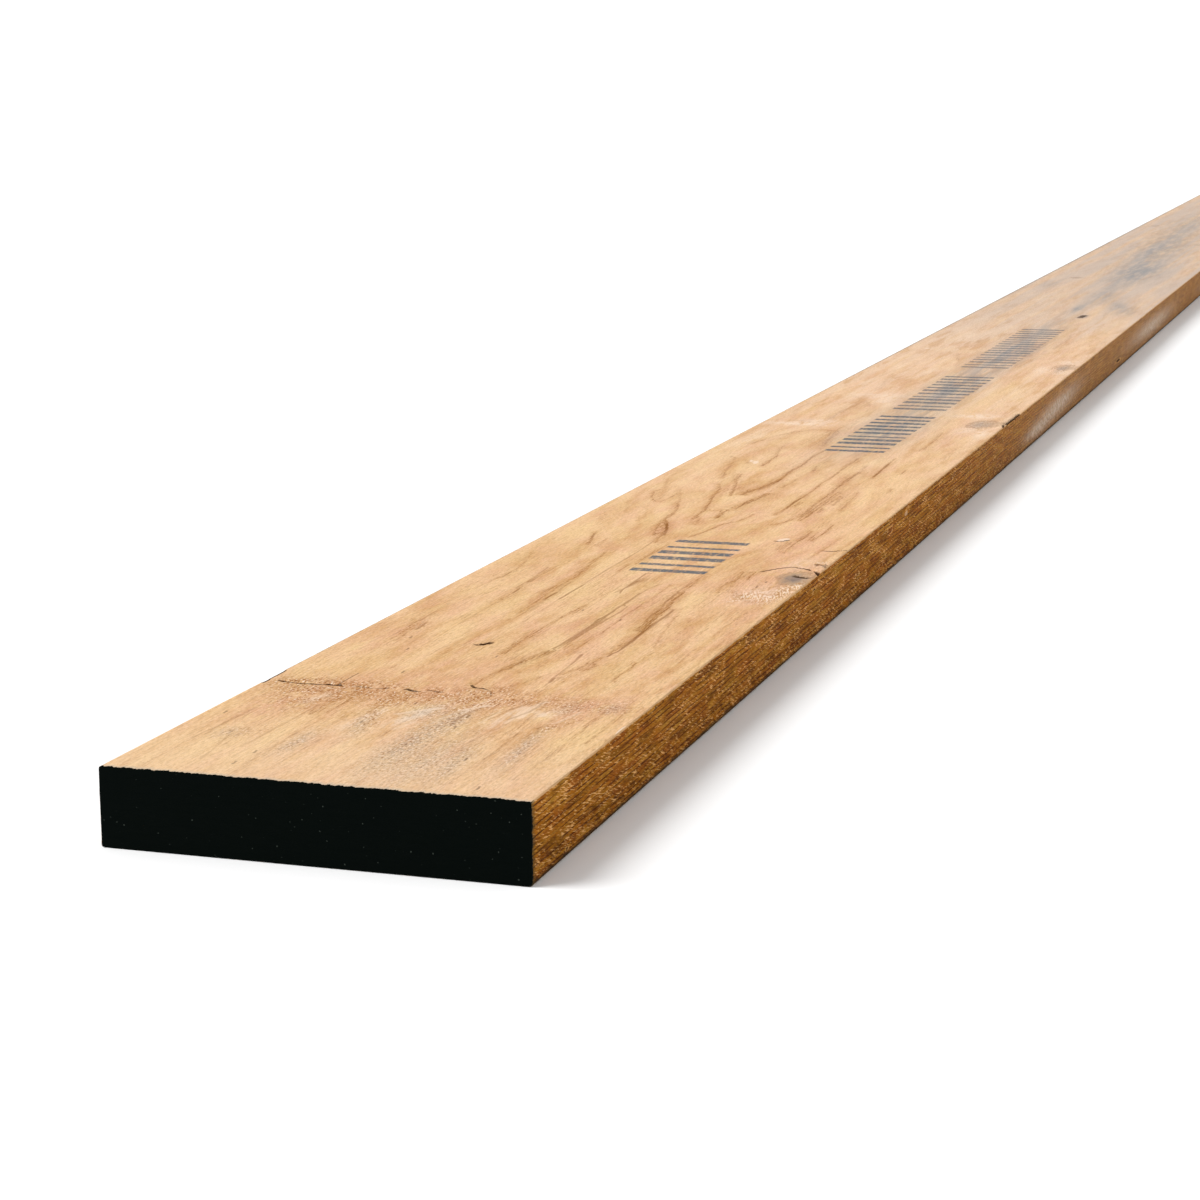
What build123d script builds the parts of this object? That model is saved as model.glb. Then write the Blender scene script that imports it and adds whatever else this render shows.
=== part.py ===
"""A laminated veneer lumber plank: veneers glued and pressed into one piece, then sawn to size.

Sizes are in millimetres. The origin is the middle of the underside, +X runs along the stock,
+Y across its wide face and +Z up through its thickness. Places along the stock are measured from
its near end, the one at -X, and places across it are measured in from its right edge, at -Y.
"""

import os

from build123d import *

# Stock: one length of a standard sawn section
length = 6096.0
width = 241.3
thickness = 44.45

# The long arrises are eased and the sawn ends are left square
arris_radius = 1.5

# A sliver torn out of the upper right arris beside the second knot
sliver_start = 1455.0
sliver_length = 90.0
sliver_width = 3.6
sliver_depth = 2.2

# A check that opens at the first knot, bends and runs out over the same arris
check_tip = 643.0
check_run = 17.0
check_reach = 9.0
check_gap = 1.6
check_depth = 2.4

# A void left between inner veneers, open at the right edge
void_middle = 948.5
void_length = 11.0
void_height = 2.6
void_drop = 8.0
void_depth = 3.0

# Each cut on the arris is drawn past the edge by this much, so that it opens right through it
overrun = 1.0

near_end = -length / 2
right_edge = -width / 2
upper_face = Plane.XY.offset(thickness)


def on_upper_face(along: float, inward: float) -> tuple[float, float]:
    """A point of the upper face, from the near end and in from the right edge."""
    return (near_end + along, right_edge + inward)


with BuildPart() as plank:
    with BuildSketch(Plane.YZ.offset(near_end)) as section:
        with Locations((0, thickness / 2)):
            RectangleRounded(width, thickness, arris_radius)
    extrude(amount=length)

    # The torn sliver: widest near its start, with a thin waist and a wider tail
    with BuildSketch(upper_face) as sliver_outline:
        with BuildLine():
            Polyline(
                on_upper_face(sliver_start, -overrun),
                on_upper_face(sliver_start + sliver_length * 0.12, sliver_width),
                on_upper_face(sliver_start + sliver_length * 0.55, sliver_width * 0.45),
                on_upper_face(sliver_start + sliver_length * 0.85, sliver_width * 0.7),
                on_upper_face(sliver_start + sliver_length, -overrun),
                close=True,
            )
        make_face()
    extrude(amount=-sliver_depth, mode=Mode.SUBTRACT)

    # The check: a crack of even width along a bent line
    with BuildSketch(upper_face) as check_outline:
        with BuildLine():
            Polyline(
                on_upper_face(check_tip, check_reach),
                on_upper_face(check_tip, check_reach * 0.65),
                on_upper_face(check_tip - check_run * 0.3, check_reach * 0.3),
                on_upper_face(check_tip - check_run, -overrun),
            )
        trace(line_width=check_gap)
    extrude(amount=-check_depth, mode=Mode.SUBTRACT)

    # The void: a small lens-shaped hole sunk in from the sawn edge
    with BuildSketch(Plane.XZ.offset(-right_edge)) as void_outline:
        with Locations((near_end + void_middle, thickness - void_drop)):
            Ellipse(void_length / 2, void_height / 2)
    extrude(amount=-void_depth, mode=Mode.SUBTRACT)

plank.part.label = "plank"

os.makedirs("parts", exist_ok=True)
export_step(plank.part, "parts/plank.step")

size = plank.part.bounding_box().size
print(f"plank: {size.X:.2f} x {size.Y:.2f} x {size.Z:.2f} mm, volume {plank.part.volume / 1e9:.5f} m3")
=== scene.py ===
"""Dresses a plank of laminated veneer lumber: peeled faces, sawn edges and sealed ends.

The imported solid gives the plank's place and size. One mesh stands for it, cut finely enough to
carry real relief, with its growth figure, knots, cracks and stains held as values on the mesh.
Lengths are in millimetres here until the mesh is written in metres. Places along the plank are
measured from its near end, and places across it from its middle line.
"""

import logging
import math
from dataclasses import dataclass, field
from enum import Enum

import bmesh
import bpy
import numpy as np
from mathutils import Matrix, Vector


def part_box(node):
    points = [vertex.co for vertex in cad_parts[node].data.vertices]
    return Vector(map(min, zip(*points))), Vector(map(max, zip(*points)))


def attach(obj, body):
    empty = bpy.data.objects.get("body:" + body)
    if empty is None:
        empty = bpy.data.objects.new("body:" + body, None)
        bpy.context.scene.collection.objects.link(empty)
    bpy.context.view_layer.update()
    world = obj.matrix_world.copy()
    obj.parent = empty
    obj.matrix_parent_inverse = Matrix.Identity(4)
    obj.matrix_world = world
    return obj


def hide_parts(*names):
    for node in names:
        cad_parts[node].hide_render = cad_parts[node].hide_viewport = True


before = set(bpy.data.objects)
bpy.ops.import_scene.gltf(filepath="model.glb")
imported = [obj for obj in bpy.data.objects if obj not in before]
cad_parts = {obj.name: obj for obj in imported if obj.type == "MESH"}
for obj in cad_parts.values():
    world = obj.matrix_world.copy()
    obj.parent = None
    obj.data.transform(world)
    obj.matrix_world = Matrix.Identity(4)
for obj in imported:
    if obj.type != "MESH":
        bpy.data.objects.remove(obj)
log = logging.getLogger("plank")

MM = 0.001
FAR_RADIUS = 4.0
TRACE_PARTS = ("side", "near", "width", "strength")
EDGE_WAYS = (-1, 1)
Colour = tuple[float, float, float, float]


def tint(red: int, green: int, blue: int) -> Colour:
    """Turns a colour as a screen shows it into the linear one that shaders use.

    Args:
        red: Red from 0 to 255.
        green: Green from 0 to 255.
        blue: Blue from 0 to 255.

    Returns:
        The linear colour, with full alpha.
    """
    linear = [(part / 255) ** 2.2 for part in (red, green, blue)]
    return (linear[0], linear[1], linear[2], 1.0)


def ease(values: np.ndarray, low: float, high: float) -> np.ndarray:
    """Rises smoothly from 0 at low to 1 at high, or falls if high is the lower one."""
    share = np.clip((values - low) / (high - low), 0.0, 1.0)
    return share * share * (3 - 2 * share)


class Side(Enum):
    """The two wide faces and the two sawn edges, with the numbers that seed each one."""

    UPPER = 11
    UNDER = 23
    RIGHT = 37
    LEFT = 53


class Slot(Enum):
    """The mesh's material slots, in order."""

    VENEER = 0
    EDGE = 1
    SEALER = 2


class Tone(Enum):
    """The soft tones laid on a wide face, with the names that the mesh carries them under."""

    STREAK = "streak"
    BLUSH = "blush"
    GREY = "grey"
    TORN = "torn"
    STRAW = "straw"
    SMUDGE = "smudge"
    CREAM = "cream"
    FLAKE = "flake"


class Mark(Enum):
    """The kinds of line traced on a wide face, with the names that the mesh carries them under."""

    CRACK = "crack"
    HAIR = "hair"
    VEIN = "vein"
    SPLINTER = "splinter"


@dataclass(frozen=True)
class Stock:
    """The plank's real sizes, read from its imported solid."""

    length: float
    width: float
    thickness: float
    arris: float = 1.5
    veneers: int = 14

    @classmethod
    def from_node(cls, node: str) -> "Stock":
        """Measures a CAD node.

        Args:
            node: The node's name.

        Returns:
            The stock, in millimetres.
        """
        low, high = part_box(node)
        size = (high - low) / MM
        return cls(length=size.x, width=size.y, thickness=size.z)

    @property
    def near(self) -> float:
        """X of the near end."""
        return -self.length / 2

    @property
    def half_width(self) -> float:
        """Half of the wide face's width."""
        return self.width / 2

    @property
    def veneer(self) -> float:
        """Thickness of one veneer."""
        return self.thickness / self.veneers


class LatticeNoise:
    """Smooth noise that is the same on each run, for shaping the mesh."""

    CELLS = 256

    def __init__(self, seed: int) -> None:
        """Shuffles a lattice.

        Args:
            seed: Picks the lattice.
        """
        self.table = np.random.default_rng(seed).permutation(self.CELLS)

    def value(self, across: np.ndarray, along: np.ndarray) -> np.ndarray:
        """Reads the noise.

        Args:
            across: First coordinate, one unit to each lattice cell.
            along: Second coordinate.

        Returns:
            Values from -1 to 1.
        """
        u, v = np.floor(across).astype(int), np.floor(along).astype(int)
        s, t = ease(across - u, 0.0, 1.0), ease(along - v, 0.0, 1.0)
        low = self._corner(u, v) * (1 - s) + self._corner(u + 1, v) * s
        high = self._corner(u, v + 1) * (1 - s) + self._corner(u + 1, v + 1) * s
        return low * (1 - t) + high * t

    def _corner(self, across: np.ndarray, along: np.ndarray) -> np.ndarray:
        """The lattice's values at whole coordinates, from -1 to 1."""
        picked = self.table[(self.table[across % self.CELLS] + along) % self.CELLS]
        return picked / ((self.CELLS - 1) / 2) - 1


@dataclass(frozen=True)
class Patch:
    """A soft oval patch of tone on a face, where the photograph shows one."""

    along: float
    across: float
    reach: float
    spread: float
    strength: float = 1.0
    slope: float = 0.0

    def weight(self, along: np.ndarray, across: np.ndarray) -> np.ndarray:
        """How strongly the patch shows at each place."""
        x, y = along - self.along, across - self.across
        return self.strength * np.exp(-((x / self.reach) ** 2) - ((y - self.slope * x) / self.spread) ** 2)


def cover(patches: tuple[Patch, ...], along: np.ndarray, across: np.ndarray) -> np.ndarray:
    """Adds up patches, held at 1.

    Args:
        patches: The patches.
        along: Places along the plank.
        across: Places across it.

    Returns:
        The cover at each place, from 0 to 1.
    """
    total = np.zeros_like(along)
    for patch in patches:
        total = total + patch.weight(along, across)
    return np.clip(total, 0.0, 1.0)


@dataclass(frozen=True)
class Spot:
    """An oval spot on a wide face: a knot that the knife cut through, or a pale chip of wood."""

    along: float
    across: float
    length: float
    width: float
    lean: float = 0.0

    def radius(self, along: np.ndarray, across: np.ndarray) -> np.ndarray:
        """Measures from the spot's middle.

        Args:
            along: Places along the plank.
            across: Places across it.

        Returns:
            The distances, where 1 is the rim.
        """
        turn = math.radians(self.lean)
        x, y = along - self.along, across - self.across
        u = (x * math.cos(turn) + y * math.sin(turn)) / (self.length / 2)
        v = (y * math.cos(turn) - x * math.sin(turn)) / (self.width / 2)
        return np.sqrt(u * u + v * v)


@dataclass(frozen=True)
class EdgeHole:
    """A small void or chip between veneers that opens at a sawn edge."""

    along: float
    up: float
    length: float
    height: float
    depth: float

    def radius(self, along: np.ndarray, up: np.ndarray) -> np.ndarray:
        """Distance from the hole's middle, where 1 is its rim."""
        return np.hypot((along - self.along) / (self.length / 2), (up - self.up) / (self.height / 2))


def nearest_radius(shapes: tuple[Spot | EdgeHole, ...], along: np.ndarray, beside: np.ndarray) -> np.ndarray:
    """Measures to the nearest of some spots or holes.

    Args:
        shapes: The spots or holes.
        along: Places along the plank.
        beside: Places across it, or heights on an edge.

    Returns:
        The radius from the nearest one, held at FAR_RADIUS.
    """
    radius = np.full(along.shape, FAR_RADIUS)
    for shape in shapes:
        radius = np.minimum(radius, shape.radius(along, beside))
    return radius


@dataclass(frozen=True)
class Trace:
    """A line on a wide face, along a few points: a crack, a dark thread or streak, or a pale splinter."""

    points: tuple[tuple[float, float], ...]
    width: float
    strength: float = 1.0
    depth: float = 0.0

    REACH = 26.0
    FADE = 5.0

    def path(self) -> list[tuple[float, float]]:
        """Smooths the line.

        Returns:
            Its points, with their corners cut twice.
        """
        path = list(self.points)
        for _ in range(2):
            cut = [path[0]]
            for (x0, y0), (x1, y1) in zip(path, path[1:]):
                cut.append((x0 * 0.75 + x1 * 0.25, y0 * 0.75 + y1 * 0.25))
                cut.append((x0 * 0.25 + x1 * 0.75, y0 * 0.25 + y1 * 0.75))
            path = cut + [path[-1]]
        return path

    def around(self, along: np.ndarray, across: np.ndarray) -> np.ndarray:
        """Whether each place lies in the line's box, widened by its reach."""
        low, high = np.min(self.points, axis=0) - self.REACH, np.max(self.points, axis=0) + self.REACH
        return (along > low[0]) & (along < high[0]) & (across > low[1]) & (across < high[1])

    def measure(self, along: np.ndarray, across: np.ndarray) -> tuple[np.ndarray, np.ndarray, np.ndarray]:
        """Measures from each place to the line.

        Args:
            along: Places along the plank.
            across: Places across it.

        Returns:
            The distance, the distance sideways with its side as its sign, and how far past an end it is.
        """
        best = np.full(along.shape, np.inf)
        sideways = np.full(along.shape, np.inf)
        past = np.zeros(along.shape)
        path = self.path()
        for (x0, y0), (x1, y1) in zip(path, path[1:]):
            run = math.hypot(x1 - x0, y1 - y0)
            ux, uy = (x1 - x0) / run, (y1 - y0) / run
            forward = (along - x0) * ux + (across - y0) * uy
            side = (across - y0) * ux - (along - x0) * uy
            over = np.maximum(np.maximum(-forward, forward - run), 0.0)
            distance = np.hypot(side, over)
            nearer = distance < best
            best = np.where(nearer, distance, best)
            sideways = np.where(nearer, side, sideways)
            past = np.where(nearer, over, past)
        return best, sideways, past


@dataclass
class Nearest:
    """The nearest of some traces at each place: what the mesh carries about it."""

    side: np.ndarray
    near: np.ndarray
    width: np.ndarray
    strength: np.ndarray
    depth: np.ndarray

    @classmethod
    def of(cls, traces: tuple[Trace, ...], along: np.ndarray, across: np.ndarray) -> "Nearest":
        """Finds the nearest trace for each place.

        Args:
            traces: The traces.
            along: Places along the plank.
            across: Places across it.

        Returns:
            Distances in millimetres, with the trace's width, strength and depth.
        """
        far = Trace.REACH * 2
        found = cls(*(np.full(along.shape, value) for value in (far, far, 1.0, 0.0, 0.0)))
        for trace in traces:
            here = np.flatnonzero(trace.around(along, across))
            distance, side, past = trace.measure(along[here], across[here])
            nearer = distance < found.near[here]
            spots = here[nearer]
            found.near[spots] = distance[nearer]
            found.side[spots] = side[nearer]
            found.width[spots] = trace.width
            found.strength[spots] = trace.strength * np.exp(-(past[nearer] / Trace.FADE) ** 2)
            shape = trace.depth * ease(distance / trace.width, 1.6, 0.3)
            found.depth[here] = np.maximum(found.depth[here], shape)
        return found


@dataclass(frozen=True)
class GrowthLine:
    """A dark growth line that the photograph shows, as a ring number and a few places on it."""

    ring: float
    places: tuple[tuple[float, float], ...]


@dataclass(frozen=True)
class Sheet:
    """One peeled veneer sheet of a wide face, with the growth rings that the knife cut through."""

    start: float
    stop: float
    ridge: float
    spacing: float
    drift: float
    seed: int
    lines: tuple[GrowthLine, ...] = ()

    REACH = (150.0, 26.0)
    LOOSENESS = 0.08
    SWAY = 14.0
    CROWN = 14.0

    def rings(self, along: np.ndarray, across: np.ndarray) -> np.ndarray:
        """Ring number at each place: a dark line runs wherever it is whole.

        Args:
            along: Places along the plank.
            across: Places across it.

        Returns:
            The ring numbers.
        """
        rings = self._free(along, across)
        if not self.lines:
            return rings
        places = np.array([place for line in self.lines for place in line.places])
        wanted = np.array([line.ring for line in self.lines for _ in line.places])
        missing = wanted - self._free(places[:, 0], places[:, 1])
        pull = self._pull(places[:, None, 0] - places[None, :, 0], places[:, None, 1] - places[None, :, 1])
        weights = np.linalg.solve(pull + np.eye(len(places)) * self.LOOSENESS, missing)
        for place, weight in zip(places, weights):
            rings = rings + weight * self._pull(along - place[0], across - place[1])
        return rings

    def _pull(self, x: np.ndarray, y: np.ndarray) -> np.ndarray:
        """How strongly a known place sets the rings at that distance from it."""
        return np.exp(-0.5 * ((x / self.REACH[0]) ** 2 + (y / self.REACH[1]) ** 2))

    def _free(self, along: np.ndarray, across: np.ndarray) -> np.ndarray:
        """Rings of a log with some wander, where no growth line is followed.

        Args:
            along: Places along the plank.
            across: Places across it.

        Returns:
            The ring numbers.
        """
        noise = LatticeNoise(self.seed)
        ridge = self.ridge + self.SWAY * noise.value(along / 620, along * 0 + 3.5)
        flank = np.sqrt(self.CROWN ** 2 + (across - ridge) ** 2) / self.spacing
        slow = 0.8 * noise.value(along / 420, across / 55)
        quick = 0.3 * noise.value(along / 130 + 40, across / 22)
        return flank + (slow + quick) - self.drift * (along - self.start) / 1000


@dataclass
class FaceFigure:
    """Everything that the peeling, growth and handling left on one wide face."""

    side: Side
    sheets: tuple[Sheet, ...]
    knots: tuple[Spot, ...]
    chips: tuple[Spot, ...]
    traces: dict[Mark, tuple[Trace, ...]]
    tones: dict[Tone, tuple[Patch, ...]]

    def bend(self, along: np.ndarray, across: np.ndarray) -> np.ndarray:
        """Leads the grain round the knots.

        Args:
            along: Places along the plank.
            across: Places across it.

        Returns:
            The places across it, pulled towards each knot's own near that knot.
        """
        bent = across.copy()
        for knot in self.knots:
            radius = knot.radius(along, across)
            bent = bent - (bent - knot.across) * 0.85 * np.exp(-0.35 * radius ** 2)
        return bent

    def fibre(self, along: np.ndarray, across: np.ndarray) -> np.ndarray:
        """Numbers the fibres, which sway a little.

        Args:
            along: Places along the plank.
            across: Places across it.

        Returns:
            A number for each place that stays the same along its fibre.
        """
        noise = LatticeNoise(self.side.value + 1)
        sway = 2.2 * noise.value(along / 260, across / 40) + 0.8 * noise.value(along / 90 + 5, across / 14)
        return self.bend(along, across) + sway

    def rings(self, sheet: Sheet, along: np.ndarray, across: np.ndarray) -> np.ndarray:
        """Ring numbers of one sheet, with its knots."""
        return sheet.rings(along, self.bend(along, across))

    def toned(self, tone: Tone, along: np.ndarray, across: np.ndarray) -> np.ndarray:
        """How strongly a tone shows at each place."""
        return cover(self.tones.get(tone, ()), along, across)

    def traced(self, mark: Mark, along: np.ndarray, across: np.ndarray) -> Nearest:
        """The nearest trace of a kind for each place."""
        return Nearest.of(self.traces.get(mark, ()), along, across)


def trace_rows(*rows: tuple) -> tuple[Trace, ...]:
    """Makes traces that leave no dent.

    Args:
        rows: For each trace its width, its strength and then its points.

    Returns:
        The traces.
    """
    return tuple(Trace(tuple(points), width, strength) for width, strength, *points in rows)


# Where the veneer joints lie: the first as in the photograph, the next ones a usual sheet length on
FIRST_JOINT = 210.0
SHEET_LENGTH = 2438.0

# Growth lines of the second sheet, numbered outwards from its ridge
GROWTH_LINES = (
    GrowthLine(0, ((965, 21), (1000, 17), (1050, 14), (1100, 13), (1230, 13), (1340, 24))),
    GrowthLine(0, ((1010, 36), (1100, 40), (1230, 38))),
    GrowthLine(1, ((845, 15), (900, 11), (958, 4), (1100, -1), (1230, -5), (1400, -4))),
    GrowthLine(1, ((880, 30), (960, 40), (1050, 50), (1120, 67), (1166, 77), (1260, 84))),
    GrowthLine(2, ((240, -4), (295, -12), (400, 2), (480, 5), (600, 7), (690, 12), (752, 8), (812, 0),
                   (850, -13), (873, -27), (971, -29), (1100, -28), (1250, -27))),
    GrowthLine(2, ((280, 31), (450, 30), (600, 31), (712, 32), (766, 38), (804, 43), (874, 57), (942, 66),
                   (1030, 80), (1120, 94))),
    GrowthLine(3, ((221, -22), (257, -38), (366, -18), (480, -19), (568, -21), (640, -25), (720, -30),
                   (806, -37), (845, -48), (922, -52), (1003, -50), (1100, -46), (1250, -46))),
    GrowthLine(3, ((230, 37), (425, 42), (497, 41), (544, 44), (616, 51), (700, 57), (760, 67), (820, 78),
                   (900, 92))),
    GrowthLine(4, ((255, -43), (308, -56), (400, -53), (482, -47), (560, -41), (640, -50), (706, -64),
                   (770, -74), (840, -80), (950, -74), (1081, -64), (1230, -62))),
    GrowthLine(4, ((280, 64), (480, 69), (590, 70), (640, 73), (706, 81), (755, 88), (820, 104))),
    GrowthLine(5, ((262, -79), (400, -82), (540, -78), (680, -88), (800, -96))),
    GrowthLine(5, ((260, 88), (430, 99), (532, 100), (568, 96), (611, 100), (658, 112))),
)

KNOTS = (
    Spot(608, -108.5, 52, 26, 4),
    Spot(1452, -99, 60, 30, -6),
    Spot(1973, -107, 56, 26),
    Spot(3290, 62, 40, 20, 8),
    Spot(4120, -58, 34, 18, -8),
    Spot(4700, 88, 46, 24, 5),
    Spot(5420, -20, 30, 15),
)

# Pale chips of wood
CHIPS = (
    Spot(758, -63, 17, 8, -10),
    Spot(1140, 57, 22, 5, 8),
    Spot(1147, 63, 14, 4, 8),
    Spot(152, -119.8, 22, 2.0),
    Spot(2140, 92, 16, 8),
)

# Pinholes and nicks, each a crack of one short step
DOTS = (
    (127, 108), (50, 54), (26, 55), (251, 49), (307, 9), (312, 70), (128, 25), (131, -30), (67, -60),
    (16, -86), (660, -112), (666, -117), (655, -119), (588, -92), (570, -90), (345, 81), (458, 1.8),
    (434, -32), (178, 12), (157, -28),
)

# The first joint, open in places
JOINT_CRACKS = (
    Trace(((210.6, 110), (209.6, 103), (208.8, 95)), 1.4, 1.0, 1.0),
    Trace(((208.7, 95), (208.5, 88), (209, 82)), 1.1, 0.8, 0.7),
    Trace(((210.8, 80), (210, 76), (210.6, 72)), 1.3, 1.0, 0.9),
    Trace(((211, 73.6), (222, 73.8), (240, 73.6)), 0.5, 0.6, 0.2),
    Trace(((211, 62), (210, 56)), 0.9, 0.5, 0.4),
    Trace(((209, 50), (211, 43)), 1.0, 0.55, 0.4),
    Trace(((211.4, 29.5), (210, 24)), 1.3, 0.9, 0.9),
    Trace(((212, 16), (210.5, 9)), 1.0, 0.6, 0.5),
    Trace(((229.3, -4.4), (226.6, -7), (226, -11), (224.8, -15)), 1.1, 0.95, 1.0),
    Trace(((224.8, -15), (221, -19), (212, -22)), 0.6, 0.4, 0.4),
    Trace(((204, 119.2), (216, 119.7), (234, 119.4)), 1.1, 0.9, 0.5),
)

OPEN_CRACKS = (
    Trace(((643.5, -112), (642, -115), (638, -118), (628, -121.5)), 2.0, 1.0, 2.4),
    Trace(((649, -101.7), (647.5, -107), (643.5, -112)), 1.6, 1.0, 0.8),
    Trace(((627, -79.4), (641, -87), (651, -95.7), (649, -101.7)), 1.2, 0.8, 0.2),
    Trace(((618, -107.7), (616.5, -111.5), (615, -115.2)), 2.6, 0.95, 1.2),
    Trace(((666, -112), (663, -116), (655, -120)), 1.3, 0.6, 0.2),
    Trace(((719, -101.3), (721.5, -110), (726, -119)), 1.2, 0.9, 0.4),
    Trace(((1462, -119.4), (1474, -118.8), (1489, -119.4), (1512, -120), (1545, -119.8)), 2.6, 1.0, 2.2),
    Trace(((1437, -121), (1452, -118)), 1.5, 1.0, 1.2),
    Trace(((2596, -38), (2634, -40)), 5.0, 0.8),
    Trace(((339, 31.5), (342, 29), (345, 27.5)), 2.6, 1.0, 0.9),
    Trace(((751, -59.5), (752, -62), (756, -66)), 1.3, 0.85, 0.8),
)

# Thin dark threads of late wood
HAIRS = trace_rows(
    (0.8, 0.5, (180, -28), (168, -25.5), (150, -24), (138, -25.5)),
    (0.9, 0.5, (204, -57), (190, -58.5), (172, -56.5), (158, -52)),
    (0.9, 0.4, (200, -50), (186, -47), (172, -42), (160, -38)),
    (0.7, 0.3, (150, -55), (125, -51), (100, -49)),
    (0.8, 0.3, (60, 66), (110, 65), (160, 64)),
    (0.8, 0.3, (70, 100), (110, 97), (140, 96)),
    (0.7, 0.3, (30, 76), (60, 79), (90, 86)),
    (0.6, 0.3, (352, 28.5), (380, 29), (420, 28), (460, 28.5), (490, 29)),
    (0.8, 0.8, (490, 29), (510, 28.8), (542, 29)),
    (0.7, 0.5, (542, 29), (580, 29.5), (620, 30), (660, 29.5), (705, 30), (725, 31)),
    (0.7, 0.3, (425, 37), (458, 37.5), (484, 37.5)),
    (1.0, 0.9, (484, 37.8), (500, 38.2), (514, 38)),
    (0.8, 0.4, (514, 38), (526, 39.5), (548, 40)),
    (0.6, 0.3, (393, 66), (430, 66.5), (477, 66)),
    (1.0, 0.7, (500, 66.3), (516, 67.5)),
    (0.8, 0.6, (542, 68.5), (560, 68.8), (587, 69)),
    (0.7, 0.45, (522, 70.5), (545, 71), (565, 72), (597, 73.5)),
    (0.7, 0.35, (410, 72.5), (426, 72.5)),
    (1.0, 0.6, (553, 93), (573, 93.5)),
    (0.8, 0.5, (397, 94), (412, 95), (427, 95)),
    (1.0, 0.5, (371, 86.5), (390, 88)),
    (0.6, 0.25, (303, 50.5), (340, 51.5), (380, 52)),
    (0.7, 0.35, (303, -3), (330, -2.5)),
    (0.9, 0.4, (261, -4.5), (277, -7), (297, -8.5), (313, -11), (323, -13.5), (339, -17)),
    (0.9, 0.7, (339, -17), (355, -18.5), (400, -18.5), (420, -18.5)),
    (0.9, 0.85, (420, -18.5), (432, -17.2), (445, -19), (484, -19)),
    (0.9, 0.7, (484, -19), (503, -18.5), (526, -18.2)),
    (0.7, 0.4, (526, -18.5), (542, -19.5), (558, -21.5)),
    (0.9, 0.4, (277, -10), (297, -13.5), (310, -17), (323, -19.5)),
    (0.7, 0.6, (323, -19.5), (339, -20.8), (361, -21.3), (393, -21.5), (426, -22.5), (458, -24),
     (480, -23.5)),
    (0.7, 0.8, (522, -4.5), (538, -2.2), (555, -2.5), (571, -2), (597, -1)),
    (0.7, 0.75, (540, -4.5), (555, -5.2), (571, -5.3), (598, -4.2)),
    (0.6, 0.4, (555, -8), (574, -9), (597, -7.5)),
    (0.5, 0.25, (503, 2), (550, 2.5)),
    (1.0, 0.8, (253, -44.5), (264, -43.5)),
    (0.7, 0.45, (264, -43.5), (284, -43), (300, -42)),
    (0.9, 0.7, (300, -42), (313, -41.5), (327, -40)),
    (1.0, 0.9, (329, -57), (337, -57.3), (345, -59), (358, -58.5), (374, -58.5), (393, -58), (406, -57.3)),
    (1.0, 0.75, (406, -57.3), (426, -57.6), (445, -57), (464, -57), (477, -56)),
    (0.8, 0.45, (406, -52), (426, -50.5), (445, -48), (464, -46.5), (484, -46)),
    (0.8, 0.6, (484, -46), (503, -44), (523, -43), (539, -42.5)),
    (0.6, 0.35, (539, -42.5), (561, -42), (587, -43)),
    (1.0, 0.5, (985, 16.5), (1000, 12.5), (1020, 11), (1050, 10.8)),
    (1.2, 0.8, (752, 31), (768, 34), (785, 38), (800, 43)),
    (1.0, 0.4, (712, 78.5), (728, 81.5), (744, 85)),
    (0.8, 0.5, (900, -30.5), (940, -29.5), (965, -31)),
    (1.0, 0.6, (1085, -64.2), (1120, -62.8), (1165, -61.3)),
)

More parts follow.
